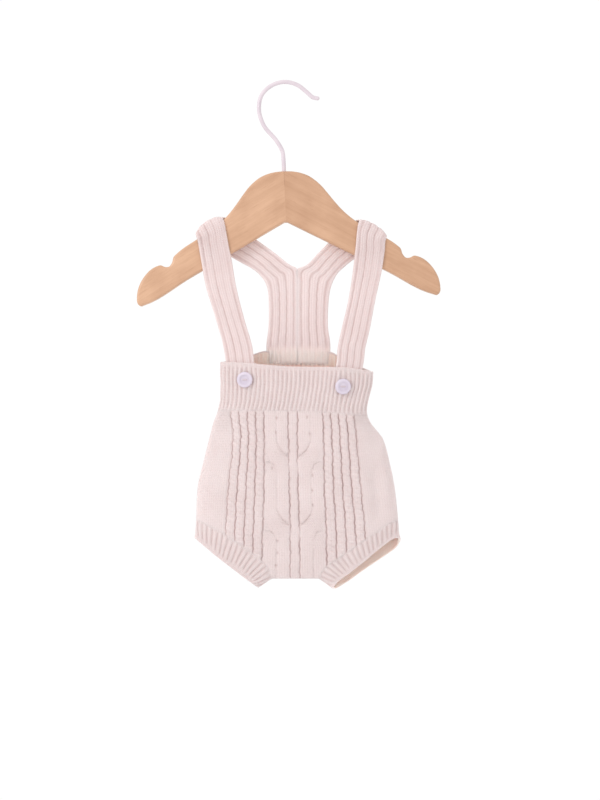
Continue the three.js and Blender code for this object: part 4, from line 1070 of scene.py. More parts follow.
def leg_seam(leg):
    """The panels' lower edges round one leg: along the front, then back along the back."""
    rows = []
    for point, normal in (front_edge, back_edge):
        x = point[:, 0]
        inside = x < CROTCH["left"] + CROTCH_REACH if leg == "left" else x > CROTCH["right"] - CROTCH_REACH
        rows.append((point[inside], normal[inside]))
    (front, front_normal), (back, back_normal) = rows
    way = 1 if leg == "left" else -1
    return (np.concatenate([front[::way], back[::-way]]),
            np.concatenate([front_normal[::way], back_normal[::-way]]))


def cuff(name, leg, seed):
    """A ribbed ring from the leg's seam to its turned hem."""
    size = CUFFS[leg]
    (hip_x, hip_z), (tip_x, tip_z) = size["hip"], size["tip"]
    lift_at = {face: curve_through(size["lift"], "f", face) for face in ("front", "back")}
    seam, seam_normal = leg_seam(leg)
    closed = np.concatenate([seam, seam[:1]])
    closed_normal = np.concatenate([seam_normal, seam_normal[:1]])
    along = lengths_along(closed)
    total = along[-1]
    corner = along[np.argmax(seam[:, 1] > 0)] / total

    def seam_at(t, rows):
        return np.stack([np.interp(t * total, along, rows[:, k]) for k in range(3)], axis=-1)

    def hem_at(t):
        behind = t > corner
        f = np.where(behind, (1 - t) / (1 - corner), t / corner)
        f = f + HEM_LEAN * np.sin(math.pi * f)
        lift = np.where(behind, lift_at["back"](f), lift_at["front"](f))
        x = mix(hip_x, tip_x, f)
        z = mix(hip_z, tip_z, f) + lift
        rounded = (1 - np.abs(2 * f - 1) ** HEM_OVAL) ** (1 / HEM_OVAL)
        y = np.where(behind, 1, -1) * np.maximum(0.1, HEM_DEPTH * rounded * mix(1, HEM_TIP_DEPTH, f))
        return np.stack([x, y, z], axis=-1)

    middle = np.array([(hip_x + tip_x) / 2, 0, (hip_z + tip_z) / 2])
    columns = np.arange(CUFF_RIBS * CUFF_PER_RIB) / (CUFF_RIBS * CUFF_PER_RIB)
    top = seam_at(columns, closed)
    top_normal = unit(seam_at(columns, closed_normal))
    hem = hem_at(columns)
    fall = hem - top
    long = np.linalg.norm(fall, axis=-1)
    half = WALL / 2
    end = 1 - (half * HEM_TURN) / long
    step = 0.006
    tangent = hem_at((columns + step) % 1) - hem_at((columns - step) % 1)
    hem_normal = unit(np.cross(tangent, fall))
    inward = (hem_normal * (hem - middle)).sum(axis=-1) < 0
    hem_normal = np.where(inward[:, None], -hem_normal, hem_normal)
    ripples = Ripples(seed, 45, 11)

    def bare(every, v, past):
        """The cuff before its ribs: points, normals, slack, share of the way down and uv."""
        travel = v * end[None, ::every]
        point = top[::every] + fall[::every] * travel[..., None] + unit(fall)[::every] * past[..., None]
        normal = mix(np.broadcast_to(top_normal[::every], point.shape), hem_normal[::every],
                     smooth(v * 1.6)[..., None])
        slack = ripples.at(point[..., 0], point[..., 2])
        mm = travel * long[None, ::every]
        u = np.append(columns[::every], 1.0) * CUFF_RIBS * 2 + 0.5
        uv = uv_grid(u, -np.concatenate([mm, mm[:, :1]], axis=1) / COURSE)
        return point, unit(normal), slack, travel, uv

    # straight down, then round the turned hem
    straight = np.linspace(0, 1, CUFF_ROWS)
    turn = np.linspace(0, math.pi, HEM_ROWS)[1:]
    rows_v = np.concatenate([straight, np.ones(len(turn))])[:, None]
    shell = np.concatenate([0 * straight, -half + half * np.cos(turn)])[:, None]
    past = np.concatenate([0 * straight, half * HEM_TURN * np.sin(turn)])[:, None]
    point, normal, slack, travel, uv = bare(1, rows_v, past)
    rib = np.broadcast_to(columns[None, :] * CUFF_RIBS, slack.shape) + 0.05 * slack
    profile = cuff_rib(rib % 1.0)
    number = np.floor(rib)
    end_at = CUFF_PLAIN - CUFF_RIB_UNEVEN * (0.5 + 0.5 * np.sin(2.4 * number)) * (number % 2)
    begin_at = 0.08 * (0.5 + 0.5 * np.sin(2.1 * number))
    ribbed = smooth((end_at - travel + 0.02 * slack) / 0.12) * smooth((travel - begin_at + 0.04) / 0.10)
    knit = mix(CUFF_GROOVE, CUFF_RIB, profile)
    plain = HEM_RIB * wave(rib, 1) + HEM_UP * smooth((travel - CUFF_PLAIN) / 0.08)
    rim = smooth((shell + half) / half)
    start = smooth(travel / 0.05)
    height = shell + mix(plain, knit, ribbed) * rim * mix(0.3, 1, start) + CUFF_WAVE * slack * start
    behind = between(columns, corner, 1, 0.02, 0.02)
    uneven = 0.8 + 0.2 * np.sin(2.7 * number + 6 * travel)
    # painted shade in the grooves and on the back's turned edge, and painted inside light where the hem
    # turns under
    hollow = CUFF_SHADE * uneven * ribbed * (1 - profile) * rim + HEM_SHADE * (1 - rim) * behind[None, :]
    outer = (point + normal * height[..., None], uv, hollow, 1 - rim)

    every = CUFF_PER_RIB // 2
    around = np.append(columns, 1.0)
    v = np.linspace(0, 1, CUFF_INSIDE_ROWS)[:, None]
    point, normal, slack, travel, uv = bare(every, v, 0 * v)
    height = CUFF_WAVE * slack * smooth(travel / 0.05) - WALL
    to_hip = np.minimum(columns, 1 - columns)[::every]
    # painted shade inside, darkest at the hip end, and painted inside light on the whole inner face
    hollow = CUFF_DEEP_SHADE + HIP_SHADE * smooth(1 - to_hip / 0.06)
    inner = (point + normal * height[..., None], uv, hollow, 1.0)
    return wall(name, RIB_KNIT, outer, inner, (around, around[::every], None, None), ring=True)


left_cuff = cuff("left_leg_cuff_knit", "left", 31)
right_cuff = cuff("right_leg_cuff_knit", "right", 37)

# ---- straps -----------------------------------------------------------------------------------
# out: edge away from the centre, in: edge nearer to it; crest: the line over the hanger
STRAPS = {
    "left": {
        "front": table(
            "z out_x in_x",
            (-309.0, -51.7, -23.3), (-292.0, -55.8, -27.2), (-276.0, -59.1, -30.8), (-264.0, -61.1, -32.3),
            (-232.0, -69.5, -41.2), (-199.5, -79.3, -49.2), (-176.5, -83.4, -53.0), (-158.5, -86.6, -56.6),
        ),
        "crest": {"out": (-88.7, -149.2), "in": (-61.5, -132.6)},
        "back": table(
            "out_x out_z in_x in_z",
            (-63.1, -166.1, -40.2, -146.2), (-45.2, -176.5, -28.3, -154.5), (-33.3, -183.2, -10.4, -167.6),
            (-25.8, -189.4, 4.5, -179.2), (-20.9, -195.6, 11.9, -183.4), (-17.9, -204.3, 11.9, -196.4),
            (-16.8, -218.2, 11.9, -214.3), (-17.2, -242.1, 11.9, -240.0), (-19.2, -260.0, 11.9, -259.0),
        ),
    },
    "right": {
        "front": table(
            "z out_x in_x",
            (-309.0, 71.0, 43.2), (-292.0, 74.4, 47.2), (-276.0, 77.6, 50.6), (-264.0, 79.0, 51.4),
            (-246.0, 83.2, 55.0), (-216.0, 88.8, 62.0), (-184.5, 95.6, 66.9), (-166.0, 98.4, 69.0),
        ),
        "crest": {"out": (100.2, -151.6), "in": (72.8, -135.2)},
        "back": table(
            "out_x out_z in_x in_z",
            (79.0, -166.6, 55.1, -147.7), (66.1, -175.2, 43.5, -156.4), (57.1, -182.6, 32.3, -167.8),
            (50.7, -189.6, 20.4, -179.6), (47.0, -196.6, 11.7, -183.4), (44.2, -206.3, 11.7, -196.4),
            (42.7, -220.2, 11.7, -214.3), (42.5, -242.0, 11.7, -240.0), (44.8, -260.0, 11.7, -259.0),
        ),
    },
}
# how deep each groove of a strap runs, from its outer edge inwards, by share of its length
GROOVES = {
    "left": table(
        "s g0 g1 g2 g3",
        (0.00, 1.0, 1.0, 1.0, 1.0), (0.16, 0.9, 1.0, 0.7, 0.9), (0.27, 0.35, 0.9, 0.35, 1.0),
        (0.38, 0.95, 0.55, 0.15, 0.45), (0.46, 1.0, 0.8, 0.4, 0.25), (0.52, 0.9, 1.0, 0.7, 0.5),
        (0.64, 0.8, 1.0, 1.0, 1.0), (1.0, 1.0, 1.0, 1.0, 1.0),
    ),
    "right": table(
        "s g0 g1 g2 g3",
        (0.00, 1.0, 1.0, 1.0, 1.0), (0.16, 1.0, 0.8, 1.0, 0.9), (0.27, 0.8, 0.5, 0.9, 1.0),
        (0.38, 0.4, 0.3, 0.8, 1.0), (0.46, 0.5, 0.6, 1.0, 0.9), (0.52, 0.8, 0.9, 1.0, 0.8),
        (0.64, 1.0, 1.0, 1.0, 1.0), (1.0, 1.0, 1.0, 1.0, 1.0),
    ),
}
JOINED_FROM = 0.66          # share of a strap's length after which it is joined to the other
FOOT_DEEP = 2.2             # a strap's foot lies this far inside the band's face
FOOT_LONG = 15.0            # and runs on this far below its top
FOOT_START = 1.0            # it starts this far above the band's top
FOOT_RIB = 4.25             # one fine rib of the foot
FOOT_PAINTED_INSIDE_LIGHT = 0.6           # how far it takes on the painted inside light
FOOT_SINK = 0.3             # while it sinks into the band
STRAP_Y = HANGER_HALF + 0.3 + STRAP_CREST
ROLL_RADIUS = HANGER_EDGE + 0.3 + STRAP_CREST
ROLL_FLAT = HANGER_HALF - HANGER_EDGE
ROLL_SLIP = {"front": 0.15, "back": 0.4}      # how far the strap drifts along the hanger as it rolls
BULGE = {"left": 3.9, "right": 3.0}           # how far its middle arches off the wood at the crest
EDGE_CURL = 0.9             # how far its edges curl down to the wood there
STRAP_SHADE = 0.72          # how dark its grooves are
SLOPE_DEEP = 0.35           # depth of a groove's slopes, as a share of the rib's height
SLIT_DEEP = 0.75            # and of the slit between them
SLIT_HALF = 0.13            # half width of the slit, as a share of a rib
SLIT_SHADE_HALF = 0.105     # and of its shade
STRAP_WALES = 13            # wales across a strap
WALE_LINE = 0.22            # how dark it is between them
FRONT_SHADE = 0.12          # the front run is a little darker than the back
CREST_SHADE = 0.2           # and so is the cloth over the hanger
CREST_SHARE = 0.43
STRAP_WAVE = 0.30           # height of its ripples
FORK = {"z": -185.0, "wide": 9.0, "shift": 0.05}      # the grooves bend early where the straps meet
BAND_TOP_Z = -268.0         # the front run follows the body's depth from here down
# from this height on, over this length, a strap nears the band
COMES_IN = {"front": (-232, 40), "back": (-186, 76)}
BACK_TOP_Z = -266           # the foot lies at the depth that the body has here
STRAP_ROWS = 330
STRAP_COLUMNS = 44
EDGE_POWER = 9              # how square the strap's edges are
CURLED = 0.15               # share of its width that curls over the wood
BULGE_POWER = 2.2           # how flat the arch over the wood is on top
FOOT_RELIEF = (0.2, 0.85)   # the foot's fine ribs, as a share of the strap's own
FOOT_SHADES = (-0.12, -0.02)            # painted light on its ribs and between them: these shades lie below 0, so they lighten the foot where it sits in the band's shade
FRONT_SHARE = 0.56          # the front run and the crest take this share of its length


def front_depth(x, z):
    """y of a strap's middle in front: off the wood at the top, inside the band at the foot."""
    point, normal = body_point(x, np.minimum(z, BAND_TOP_Z), -1)
    in_band = point[..., 1] + (WALL + SEAM + STRAP_CREST) / np.abs(normal[..., 1])
    begin, over = COMES_IN["front"]
    return mix(-STRAP_Y, in_band, smooth((begin - z) / over))


def back_depth(z):
    """y of a strap's middle behind."""
    begin, over = COMES_IN["back"]
    return mix(STRAP_Y, depth_at(BACK_TOP_Z) - FOOT_DEEP, smooth((begin - z) / over))


def strap_rows(side, at):
    """The rows of a strap's middle surface at the places at across it, 0 out and 1 in."""
    size = STRAPS[side]
    bulge = BULGE[side] * (1 - np.abs(2 * at - 1) ** BULGE_POWER)
    curl = EDGE_CURL * (smooth((at - 1 + CURLED) / CURLED) + smooth((CURLED - at) / CURLED))
    rows = []
    for z, out_x, in_x in rows_of(size["front"]):
        x = mix(out_x, in_x, at)
        height = np.full_like(at, z)
        rows.append(np.stack([x, front_depth(x, height), height], axis=-1))
    out, inner = (np.array([x, 0, z]) for x, z in (size["crest"]["out"], size["crest"]["in"]))
    inward = inner - out
    axis = inward / np.linalg.norm(inward)
    up = np.array([-axis[2], 0, axis[0]])
    up = up if up[2] > 0 else -up
    quarter = math.pi / 2 * ROLL_RADIUS

    def bend(sign, degrees, slip):
        a = math.radians(degrees)
        y = sign * (ROLL_FLAT + ROLL_RADIUS * math.sin(a))
        drop = ROLL_RADIUS * (1 - math.cos(a))
        drift = sign * slip * (ROLL_FLAT + quarter * degrees / 90)
        row = out + inward * at[:, None] + axis * drift - up * drop
        row += up * (bulge * math.cos(a) ** 0.7 - curl * math.cos(a))[:, None]
        row[:, 1] = y - sign * curl * math.sin(a)
        rows.append(row)

    for degrees in (90, 60, 30, 0):
        bend(-1, degrees, ROLL_SLIP["front"])
    for degrees in (0, 30, 60, 90):
        bend(1, degrees, ROLL_SLIP["back"])
    back = size["back"]
    for out_x, out_z, in_x, in_z in rows_of(back):
        z = mix(out_z, in_z, at)
        rows.append(np.stack([mix(out_x, in_x, at), back_depth(z), z], axis=-1))
    x = mix(back["out_x"][-1], back["in_x"][-1], at)
    band_z = band_edge_at["back_top"](across_at(x, back["out_z"][-1]))
    y = back_depth(np.full_like(at, back["out_z"][-1]))
    rows.append(np.stack([x, y, band_z + FOOT_START], axis=-1))
    rows.append(np.stack([x, y + FOOT_SINK, band_z - FOOT_LONG], axis=-1))
    return np.array(rows)


def through(points, fine):
    """A smooth curve through rows of points, sampled at even steps of its length."""
    chord = np.linalg.norm(np.diff(points, axis=0), axis=-1)
    if points.ndim == 3:
        chord = chord.mean(axis=1)

    def per_row(values):
        return values.reshape((-1,) + (1,) * (points.ndim - 1))

    t = np.concatenate([[0], np.cumsum(chord)])
    slope = np.diff(points, axis=0) / per_row(chord)
    before = per_row(chord[:-1] / (chord[:-1] + chord[1:]))
    inner = slope[:-1] * (1 - before) + slope[1:] * before
    tangent = np.concatenate([slope[:1], inner, slope[-1:]])
    where = np.linspace(0, t[-1], fine)
    i = np.clip(np.searchsorted(t, where) - 1, 0, len(chord) - 1)
    h = per_row(chord[i])
    u = per_row((where - t[i]) / chord[i])
    u2 = u * u
    u3 = u2 * u
    curve = ((2 * u3 - 3 * u2 + 1) * points[i] + (u3 - 2 * u2 + u) * h * tangent[i]
             + (3 * u2 - 2 * u3) * points[i + 1] + (u3 - u2) * h * tangent[i + 1])
    return curve, where


def strap(name, side, seed):
    """A ribbed ribbon: half a rib on either edge and three whole ones between."""
    control_at = np.linspace(0, 1, 9)
    rows, length = through(strap_rows(side, control_at), STRAP_ROWS)
    share = length / length[-1]
    # the columns lie a little closer near the edges
    at = 0.5 - 0.5 * np.cos(np.linspace(0, math.pi, STRAP_COLUMNS))
    at = mix(at, np.linspace(0, 1, STRAP_COLUMNS), 0.75)
    spread = np.stack([np.stack([np.interp(at, control_at, row[:, k]) for k in range(3)], axis=-1)
                       for row in rows])
    ripples = Ripples(seed, 60, 9)
    face = unit(np.cross(np.gradient(spread, axis=0), np.gradient(spread, axis=1)))
    wide = np.linalg.norm(rows[:, -1] - rows[:, 0], axis=-1)
    s_mm = length[:, None]
    a_mm = at[None, :] * wide[:, None]
    to_foot = length[-1] - s_mm
    stray = 0.006 * wave(s_mm, 9.3, 5 * at) + 0.010 * ripples.at(a_mm, s_mm)
    fork = FORK["shift"] * bell(spread[..., 2] - FORK["z"], FORK["wide"]) * (share > 0.5)[:, None]
    place = at[None, :] + (stray + fork) * np.sin(math.pi * at)[None, :]
    rib = np.full(place.shape, 1.0)
    hollow = np.zeros(place.shape)
    for k in range(4):
        strength = np.interp(share, GROOVES[side]["s"], GROOVES[side][f"g{k}"])[:, None]
        off = np.abs(place - (k + 0.5) / 4) * 4
        slope = 1 - np.clip(off / 0.5, 0, 1) ** 0.9
        rib -= strength * (SLOPE_DEEP * slope ** 2 + SLIT_DEEP * bell(off, SLIT_HALF))
        hollow += strength * bell(off, SLIT_SHADE_HALF)
    # the two straps grow together along the back
    joined = smooth((share - JOINED_FROM) / 0.03)[:, None]
    own_edge = (1 - np.abs(2 * at - 1) ** EDGE_POWER) ** 0.5
    out_edge = (1 - np.clip(1 - 2 * at, 0, 1) ** EDGE_POWER) ** 0.5
    edge = np.maximum(mix(own_edge, out_edge, joined), 0.02)
    # the foot takes on the fine ribs of the band that it is knitted to
    above = smooth((to_foot - FOOT_LONG + 1) / 8)
    fine = band_rib(spread[..., 0] / FOOT_RIB % 1.0)
    rib = mix(mix(*FOOT_RELIEF, fine), rib, above)
    thick = (STRAP_CORE + STRAP_RIB * rib) * edge * mix(0.25, 1, smooth(to_foot / 3.0))
    lift = STRAP_WAVE * ripples.at(a_mm * 1.5, s_mm) * between(share, 0.02, 0.98, 0.06, 0.05)[:, None]
    lift = lift * mix(1, smooth((1 - at) / 0.3), joined)
    middle = spread + face * lift[..., None]
    upper = middle + face * thick[..., None]
    lower = (middle - face * thick[..., None])[:, ::-1]
    u = at * STRAP_WALES
    ring_u = np.concatenate([u, u[::-1], u[:1]])
    uv = uv_grid(ring_u, np.broadcast_to(-s_mm / COURSE, (len(rows), len(ring_u))))
    # painted shade in the grooves, between the wales, deep in the band, on the front run and over the
    # crest; painted light on the foot
    hollow = mix(mix(*FOOT_SHADES, 1 - fine), np.clip(hollow, 0, 1) * STRAP_SHADE, above)
    hollow += 0.5 * BAND_DEEP_SHADE * smooth((6 - to_foot) / 7)
    lines = WALE_LINE * (1 - np.abs(np.sin(math.pi * STRAP_WALES * at))) ** 2
    hollow += lines * above * mix(1, smooth((1 - at) / 0.08), joined)
    front_run = FRONT_SHADE * smooth((FRONT_SHARE - share) / 0.1)
    hollow += (front_run + CREST_SHADE * bell(share - CREST_SHARE, 0.06))[:, None]
    # painted inside light on the foot's face that looks into the band
    foot = np.broadcast_to(FOOT_PAINTED_INSIDE_LIGHT * smooth((FOOT_LONG + 7 - to_foot) / 12), hollow.shape)
    both = (foot, 0 * foot) if face[-1, 0, 1] < 0 else (0 * foot, foot)
    faces = Faces()
    index, _ = faces.grid(np.concatenate([upper, lower], axis=1), uv,
                          np.concatenate([hollow, hollow[:, ::-1]], axis=1),
                          np.concatenate(both, axis=1), ring=True)
    for row, flip in ((0, False), (-1, True)):
        top = index[row, :STRAP_COLUMNS]
        bottom = index[row, STRAP_COLUMNS:-1][::-1]
        for k in range(STRAP_COLUMNS - 1):
            corners = [top[k], top[k + 1], bottom[k + 1], bottom[k]]
            if flip:
                corners.reverse()
            spot = [(float(u[k]), 0.0)] * 3
            faces.tris += [tuple(corners[:3]), (corners[0], corners[2], corners[3])]
            faces.tri_uvs += [spot, spot]
    return faces.build(name, STRAP_KNIT)


left_strap = strap("left_strap_knit", "left", 41)
right_strap = strap("right_strap_knit", "right", 47)

# ---- buttons ----------------------------------------------------------------------------------
BUTTON = {
    "radius": 7.8, "thick": 2.8, "dish": 4.7, "sink": 0.9, "hole": 0.9, "hole_out": 2.4,
    "round": 1.5, "round_deep": 1.4, "dish_round": 0.8, "off_band": 0.95,
}
THREAD_RADIUS = 0.34
THREAD_APART = 0.38         # half the distance between the two bars of thread
BUTTON_SEGMENTS = 72
HOLE_SEGMENTS = 24
BUTTON_SHARP = 38           # degrees; sharper turns are edges of a button


def lathe(profile, segments):
    """A closed turned body about +Y from its profile of (radius, y) points, axis to axis."""
    turn = np.linspace(0, 2 * math.pi, segments, endpoint=False)
    verts = [(0, profile[0][1], 0)]
    for radius, y in profile[1:-1]:
        verts += [(radius * math.cos(a), y, radius * math.sin(a)) for a in turn]
    verts.append((0, profile[-1][1], 0))
    last = len(verts) - 1
    faces = [(0, 1 + (k + 1) % segments, 1 + k) for k in range(segments)]
    for ring in range(len(profile) - 3):
        base = 1 + ring * segments
        for k in range(segments):
            m = (k + 1) % segments
            faces.append((base + k, base + m, base + segments + m, base + segments + k))
    base = last - segments
    faces += [(last, base + k, base + (k + 1) % segments) for k in range(segments)]
    mesh = bpy.data.meshes.new("turned")
    mesh.from_pydata([Vector(v) * MM for v in verts], [], faces)
    mesh.update()
    return mesh


def button_profile():
    """From the middle of its back round the rim to the middle of its dish."""
    b = BUTTON
    floor_y = b["thick"] - b["sink"]
    foot = [(b["radius"] - 1.4, 0.0), (b["radius"] - 0.4, 0.45), (b["radius"] - 0.05, 0.95)]
    rim = [(b["radius"] - b["round"] * (1 - math.sin(a)), b["thick"] - b["round_deep"] * (1 - math.cos(a)))
           for a in np.linspace(math.pi / 2, 0.25, 7)]
    dish = [(b["dish"] + b["dish_round"] * math.cos(a), floor_y + b["sink"] * math.sin(a))
            for a in np.linspace(math.pi / 2, 0, 5)]
    return [(0, 0)] + foot + rim + dish + [(b["dish"] * 0.55, floor_y - 0.12), (0, floor_y - 0.15)]


def only_mesh(piece):
    """Applies a piece's modifiers."""
    bpy.context.view_layer.update()
    depsgraph = bpy.context.evaluated_depsgraph_get()
    mesh = bpy.data.meshes.new_from_object(piece.evaluated_get(depsgraph))
    piece.modifiers.clear()
    piece.data = mesh


def mesh_of(curve):
    """A curve's surface as a mesh."""
    holder = bpy.data.objects.new(curve.name, curve)
    mesh = bpy.data.meshes.new_from_object(holder)
    bpy.data.objects.remove(holder)
    return mesh


def finish(piece, material, sharp=None):
    """Smooth shading, one material and, where stated, sharp edges from that many degrees."""
    piece.data.shade_smooth()
    if sharp is not None:
        piece.data.set_sharp_from_angle(angle=math.radians(sharp))
    piece.data.materials.clear()
    piece.data.materials.append(material)


def thread_bar(points, radius):
    """A short run of thread along the points."""
    curve = bpy.data.curves.new("thread", "CURVE")
    curve.dimensions = "3D"
    curve.bevel_depth = radius * MM
    curve.bevel_resolution = 3
    curve.use_fill_caps = True
    spline = curve.splines.new("BEZIER")
    spline.bezier_points.add(len(points) - 1)
    for target, point in zip(spline.bezier_points, points):
        target.co = Vector(point) * MM
        target.handle_left_type = "AUTO"
        target.handle_right_type = "AUTO"
    return mesh_of(curve)


def place_mesh(mesh, spot, normal):
    """Turns a mesh made about +Y so that it stands on spot along normal, upright."""
    y = Vector(normal)
    x = y.cross(Vector((0, 0, 1))).normalized()
    z = x.cross(y).normalized()
    for vertex in mesh.vertices:
        p = vertex.co
        vertex.co = Vector(spot) * MM + x * p.x + y * p.y + z * p.z


def button(name, x, z):
    """A button on the front of the band and the thread that holds it."""
    body = added(name, lathe(button_profile(), BUTTON_SEGMENTS))
    hole = BUTTON["hole"]
    out = BUTTON["hole_out"]
    drills = []
    for side in (-1, 1):
        drill = added("drill", lathe([(0, -1), (hole, -1), (hole, 4), (0, 4)], HOLE_SEGMENTS))
        drill.location.x = side * out * MM
        cut = body.modifiers.new("hole", "BOOLEAN")
        cut.object = drill
        cut.solver = "EXACT"
        drills.append(drill)
    only_mesh(body)
    for drill in drills:
        bpy.data.objects.remove(drill)
    point, normal = body_point(x, z, -1)
    spot = point + normal * BUTTON["off_band"]
    place_mesh(body.data, spot, normal)
    finish(body, PLASTIC, BUTTON_SHARP)
    top = BUTTON["thick"] - BUTTON["sink"]
    half_bar = [(out, 0.4, 1), (out - 0.3, top + 0.1, 1)]
    way = [(-x, y, z) for x, y, z in half_bar] + [(0, top + 0.45, 1.15)] + half_bar[::-1]
    bars = [thread_bar([(x, y, z * side) for x, y, z in way], THREAD_RADIUS)
            for side in (-THREAD_APART, THREAD_APART)]
    stitched = added(f"{name}_thread", bars[0])
    other = added("spare", bars[1])
    with bpy.context.temp_override(active_object=stitched, selected_editable_objects=[stitched, other]):
        bpy.ops.object.join()
    place_mesh(stitched.data, spot, normal)
    finish(stitched, THREAD)
    return body, stitched


button_spots = rows_of(BUTTONS)
left_button, left_thread = button("left_button_cap", *next(button_spots))
right_button, right_thread = button("right_button_cap", *next(button_spots))

# ---- hanger and hook --------------------------------------------------------------------------
# the right half of the outline, from the top of the dome to the point under it
HANGER_LINE = table(
    "across up",
    (0, 0), (10, -0.6), (18, -2.6), (24, -5.2), (30, -9.4), (36, -15), (42, -22.4), (49, -31.6),
    (56, -40), (65, -48.5), (87, -62.9), (109, -77.2), (112.6, -80.6), (114.6, -86.6), (117.8, -90.2),
    (121.6, -90.2), (125.6, -88.4), (130.6, -89.6), (136, -92.6), (141.6, -98), (146.4, -105),
    (149.6, -113), (150.6, -120), (150.2, -125.4), (147.4, -128.2), (143, -127), (98.3, -102.8),
    (53.7, -78.7), (9, -54.6), (1.6, -50.6),
)


HANGER_STEPS = 241          # points along the half outline
FACING = 0.9995             # a face that looks this straight to the front or the back is flat


def hanger(name):
    """Its outline, extruded with rounded edges and tilted."""
    half = np.stack(list(HANGER_LINE.values()), axis=-1)
    mirror = np.array([-1, 1])
    right, _ = through(np.concatenate([half[1:2] * mirror, half]), HANGER_STEPS)
    right = right[np.argmin(np.linalg.norm(right - half[0], axis=1)):]
    outline = np.concatenate([right, right[1:][::-1] * mirror])
    curve = bpy.data.curves.new(name, "CURVE")
    curve.dimensions = "2D"
    curve.fill_mode = "BOTH"
    curve.extrude = (HANGER_HALF - HANGER_EDGE) * MM
    curve.bevel_depth = HANGER_EDGE * MM
    curve.offset = -HANGER_EDGE * MM
    curve.bevel_resolution = 5
    spline = curve.splines.new("POLY")
    spline.points.add(len(outline) - 1)
    for target, (x, z) in zip(spline.points, outline):
        target.co = (x * MM, z * MM, 0, 1)
    spline.use_cyclic_u = True
    mesh = mesh_of(curve)
    tilt = math.radians(HANGER_TILT)
    for vertex in mesh.vertices:
        x, z, y = vertex.co
        own_x = x * math.cos(tilt) - z * math.sin(tilt)
        own_z = x * math.sin(tilt) + z * math.cos(tilt)
        vertex.co = Vector((own_x + HANGER_APEX[0] * MM, -y, own_z + HANGER_APEX[1] * MM))
    mesh.update()
    piece = added(name, mesh)
    weld = piece.modifiers.new("weld", "WELD")
    weld.merge_threshold = 0.01 * MM
    only_mesh(piece)
    # sharp where a flat face meets the rounded edge
    mesh = piece.data
    flat = {polygon.index: abs(polygon.normal.y) > FACING for polygon in mesh.polygons}
    uses = {}
    for polygon in mesh.polygons:
        for key in polygon.edge_keys:
            uses.setdefault(key, []).append(flat[polygon.index])
    finish(piece, BEECH)
    for edge in mesh.edges:
        around = uses.get(edge.key, [])
        edge.use_edge_sharp = len(around) == 2 and around[0] != around[1]
    return piece


# the middle of the wire, from the wood to the tip
HOOK_LINE = table(
    "x z",
    (-1.5, -87.9), (-1.9, -77), (-3.2, -66.5), (-8.6, -57), (-22.2, -40), (-26.3, -26), (-23.4, -10.6),
    (-12.6, -0.9), (0, WIRE_RADIUS), (12, -1.1), (21.5, -8.4), (27.4, -13.3), (34, -14.6),
)


WIRE_STEPS = 260
WIRE_SEGMENTS = 28
TIP_LEAST = 0.0004          # the tip keeps a little width, so no face there is empty


def hook(name):
    """A round wire along its line, with a rounded tip."""
    flat = np.stack([HOOK_LINE["x"], 0 * HOOK_LINE["x"], HOOK_LINE["z"]], axis=-1)
    line, length = through(flat, WIRE_STEPS)
    sideways = np.array([0.0, 1.0, 0.0])
    out = unit(np.cross(unit(np.gradient(line, axis=0)), sideways))
    turn = np.linspace(0, 2 * math.pi, WIRE_SEGMENTS, endpoint=False)
    to_tip = (length[-1] - length) / WIRE_RADIUS
    radius = WIRE_RADIUS * np.sqrt(np.clip(1 - (1 - np.clip(to_tip, 0, 1)) ** 2, TIP_LEAST, 1))
    points = (line[:, None] + radius[:, None, None] * (
        np.cos(turn)[None, :, None] * out[:, None] + np.sin(turn)[None, :, None] * sideways))
    courses = np.broadcast_to((length / length[-1])[:, None], (len(line), len(turn) + 1))
    faces = Faces()
    index, _ = faces.grid(points, uv_grid(np.linspace(0, 1, len(turn) + 1), courses), 0.0, ring=True)
    for row, flip in ((0, False), (-1, True)):
        ring = list(index[row, :-1])
        for k in range(1, len(ring) - 1):
            corners = (ring[0], ring[k], ring[k + 1])
            faces.tris.append(corners[::-1] if flip else corners)
            faces.tri_uvs.append([(0.5, 0.5)] * 3)
    return faces.build(name, WIRE)


hanger_wood = hanger("hanger_wood")
hook_wire = hook("hook_wire")

# ---- what rides and what it replaces ----------------------------------------------------------
STANDS_FOR = [
    (front_panel, "front_panel", "knit"), (back_panel, "back_panel", "knit"),
    (front_band, "front_waistband", "rib_knit"), (back_band, "back_waistband", "rib_knit"),
    (left_cuff, "left_leg_cuff", "rib_knit"), (right_cuff, "right_leg_cuff", "rib_knit"),
    (left_strap, "left_strap", "rib_knit"), (right_strap, "right_strap", "rib_knit"),
    (left_button, "left_button", "button"), (right_button, "right_button", "button"),
    (hanger_wood, "wooden_hanger", "wood"), (hook_wire, "hanger_hook", "hook_wire"),
]
for piece, node, slot in STANDS_FOR:
    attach(piece, "root")
    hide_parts(node)
for piece in (left_thread, right_thread):
    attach(piece, "root")

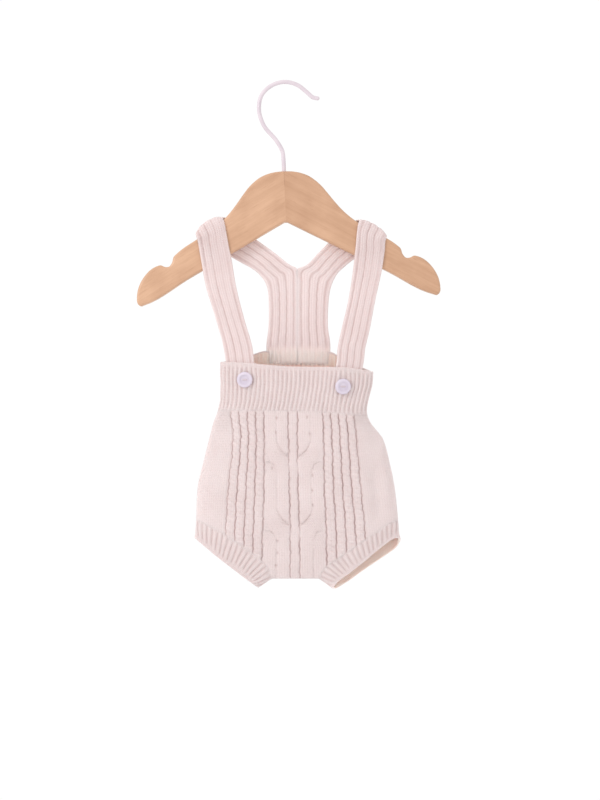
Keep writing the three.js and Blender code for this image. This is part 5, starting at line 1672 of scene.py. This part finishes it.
# ---- stage ------------------------------------------------------------------------------------
FLOOR_Z = -0.98
FLOOR_LIGHT = (0.9, 0.9, 0.9, 1.0)
FLOOR_DARK = (0.8865, 0.8865, 0.8865, 1.0)
FLOOR_HALF = 2.6
FLOOR_BACK = 1.0
VIEW_MIDDLE = (0.0144, -0.314)     # x and z in the middle of the view
VIEW_TALL = 0.795                  # height of the view at the object
CAMERA_AWAY = 1.80
SENSOR = 24
LAMP = {"place": (-1.5, -1.3, 0.55), "aim": (VIEW_MIDDLE[0], 0.0, -0.35), "size": 0.6, "power": 11.0}
SKY = 1.02


def floor():
    n = Nodes("pale_floor")
    mesh = bpy.data.meshes.new("floor")
    left, right = -FLOOR_HALF, FLOOR_HALF
    corners = [(left, left, FLOOR_Z), (right, left, FLOOR_Z),
               (right, FLOOR_BACK, FLOOR_Z), (left, FLOOR_BACK, FLOOR_Z)]
    mesh.from_pydata(corners, [], [(0, 1, 2, 3)])
    colour = n.blend(n.patchy(6.0, 2.0), FLOOR_LIGHT, FLOOR_DARK)
    mesh.materials.append(n.shade(Base_Color=colour, Roughness=0.8))
    added("floor", mesh)


def lamp():
    data = bpy.data.lights.new("key", "AREA")
    data.shape = "DISK"
    data.size = LAMP["size"]
    data.energy = LAMP["power"]
    piece = added("key", data)
    piece.location = LAMP["place"]
    aim = Vector(LAMP["aim"]) - Vector(LAMP["place"])
    piece.rotation_euler = aim.to_track_quat("-Z", "Y").to_euler()


def sky():
    world = bpy.data.worlds.new("studio")
    world.use_nodes = True
    background = world.node_tree.nodes["Background"]
    background.inputs["Color"].default_value = (1, 1, 1, 1)
    background.inputs["Strength"].default_value = SKY
    bpy.context.scene.world = world


def camera():
    data = bpy.data.cameras.new("camera")
    data.sensor_fit = "VERTICAL"
    data.sensor_height = SENSOR
    data.lens = SENSOR / 2 / (VIEW_TALL / 2 / CAMERA_AWAY)
    piece = added("camera", data)
    piece.location = (VIEW_MIDDLE[0], -CAMERA_AWAY, VIEW_MIDDLE[1])
    piece.rotation_euler = (math.radians(90), 0, 0)
    bpy.context.scene.camera = piece


floor()
sky()
lamp()
camera()
bpy.context.scene.view_settings.view_transform = "Standard"
bpy.context.scene.view_settings.look = "None"
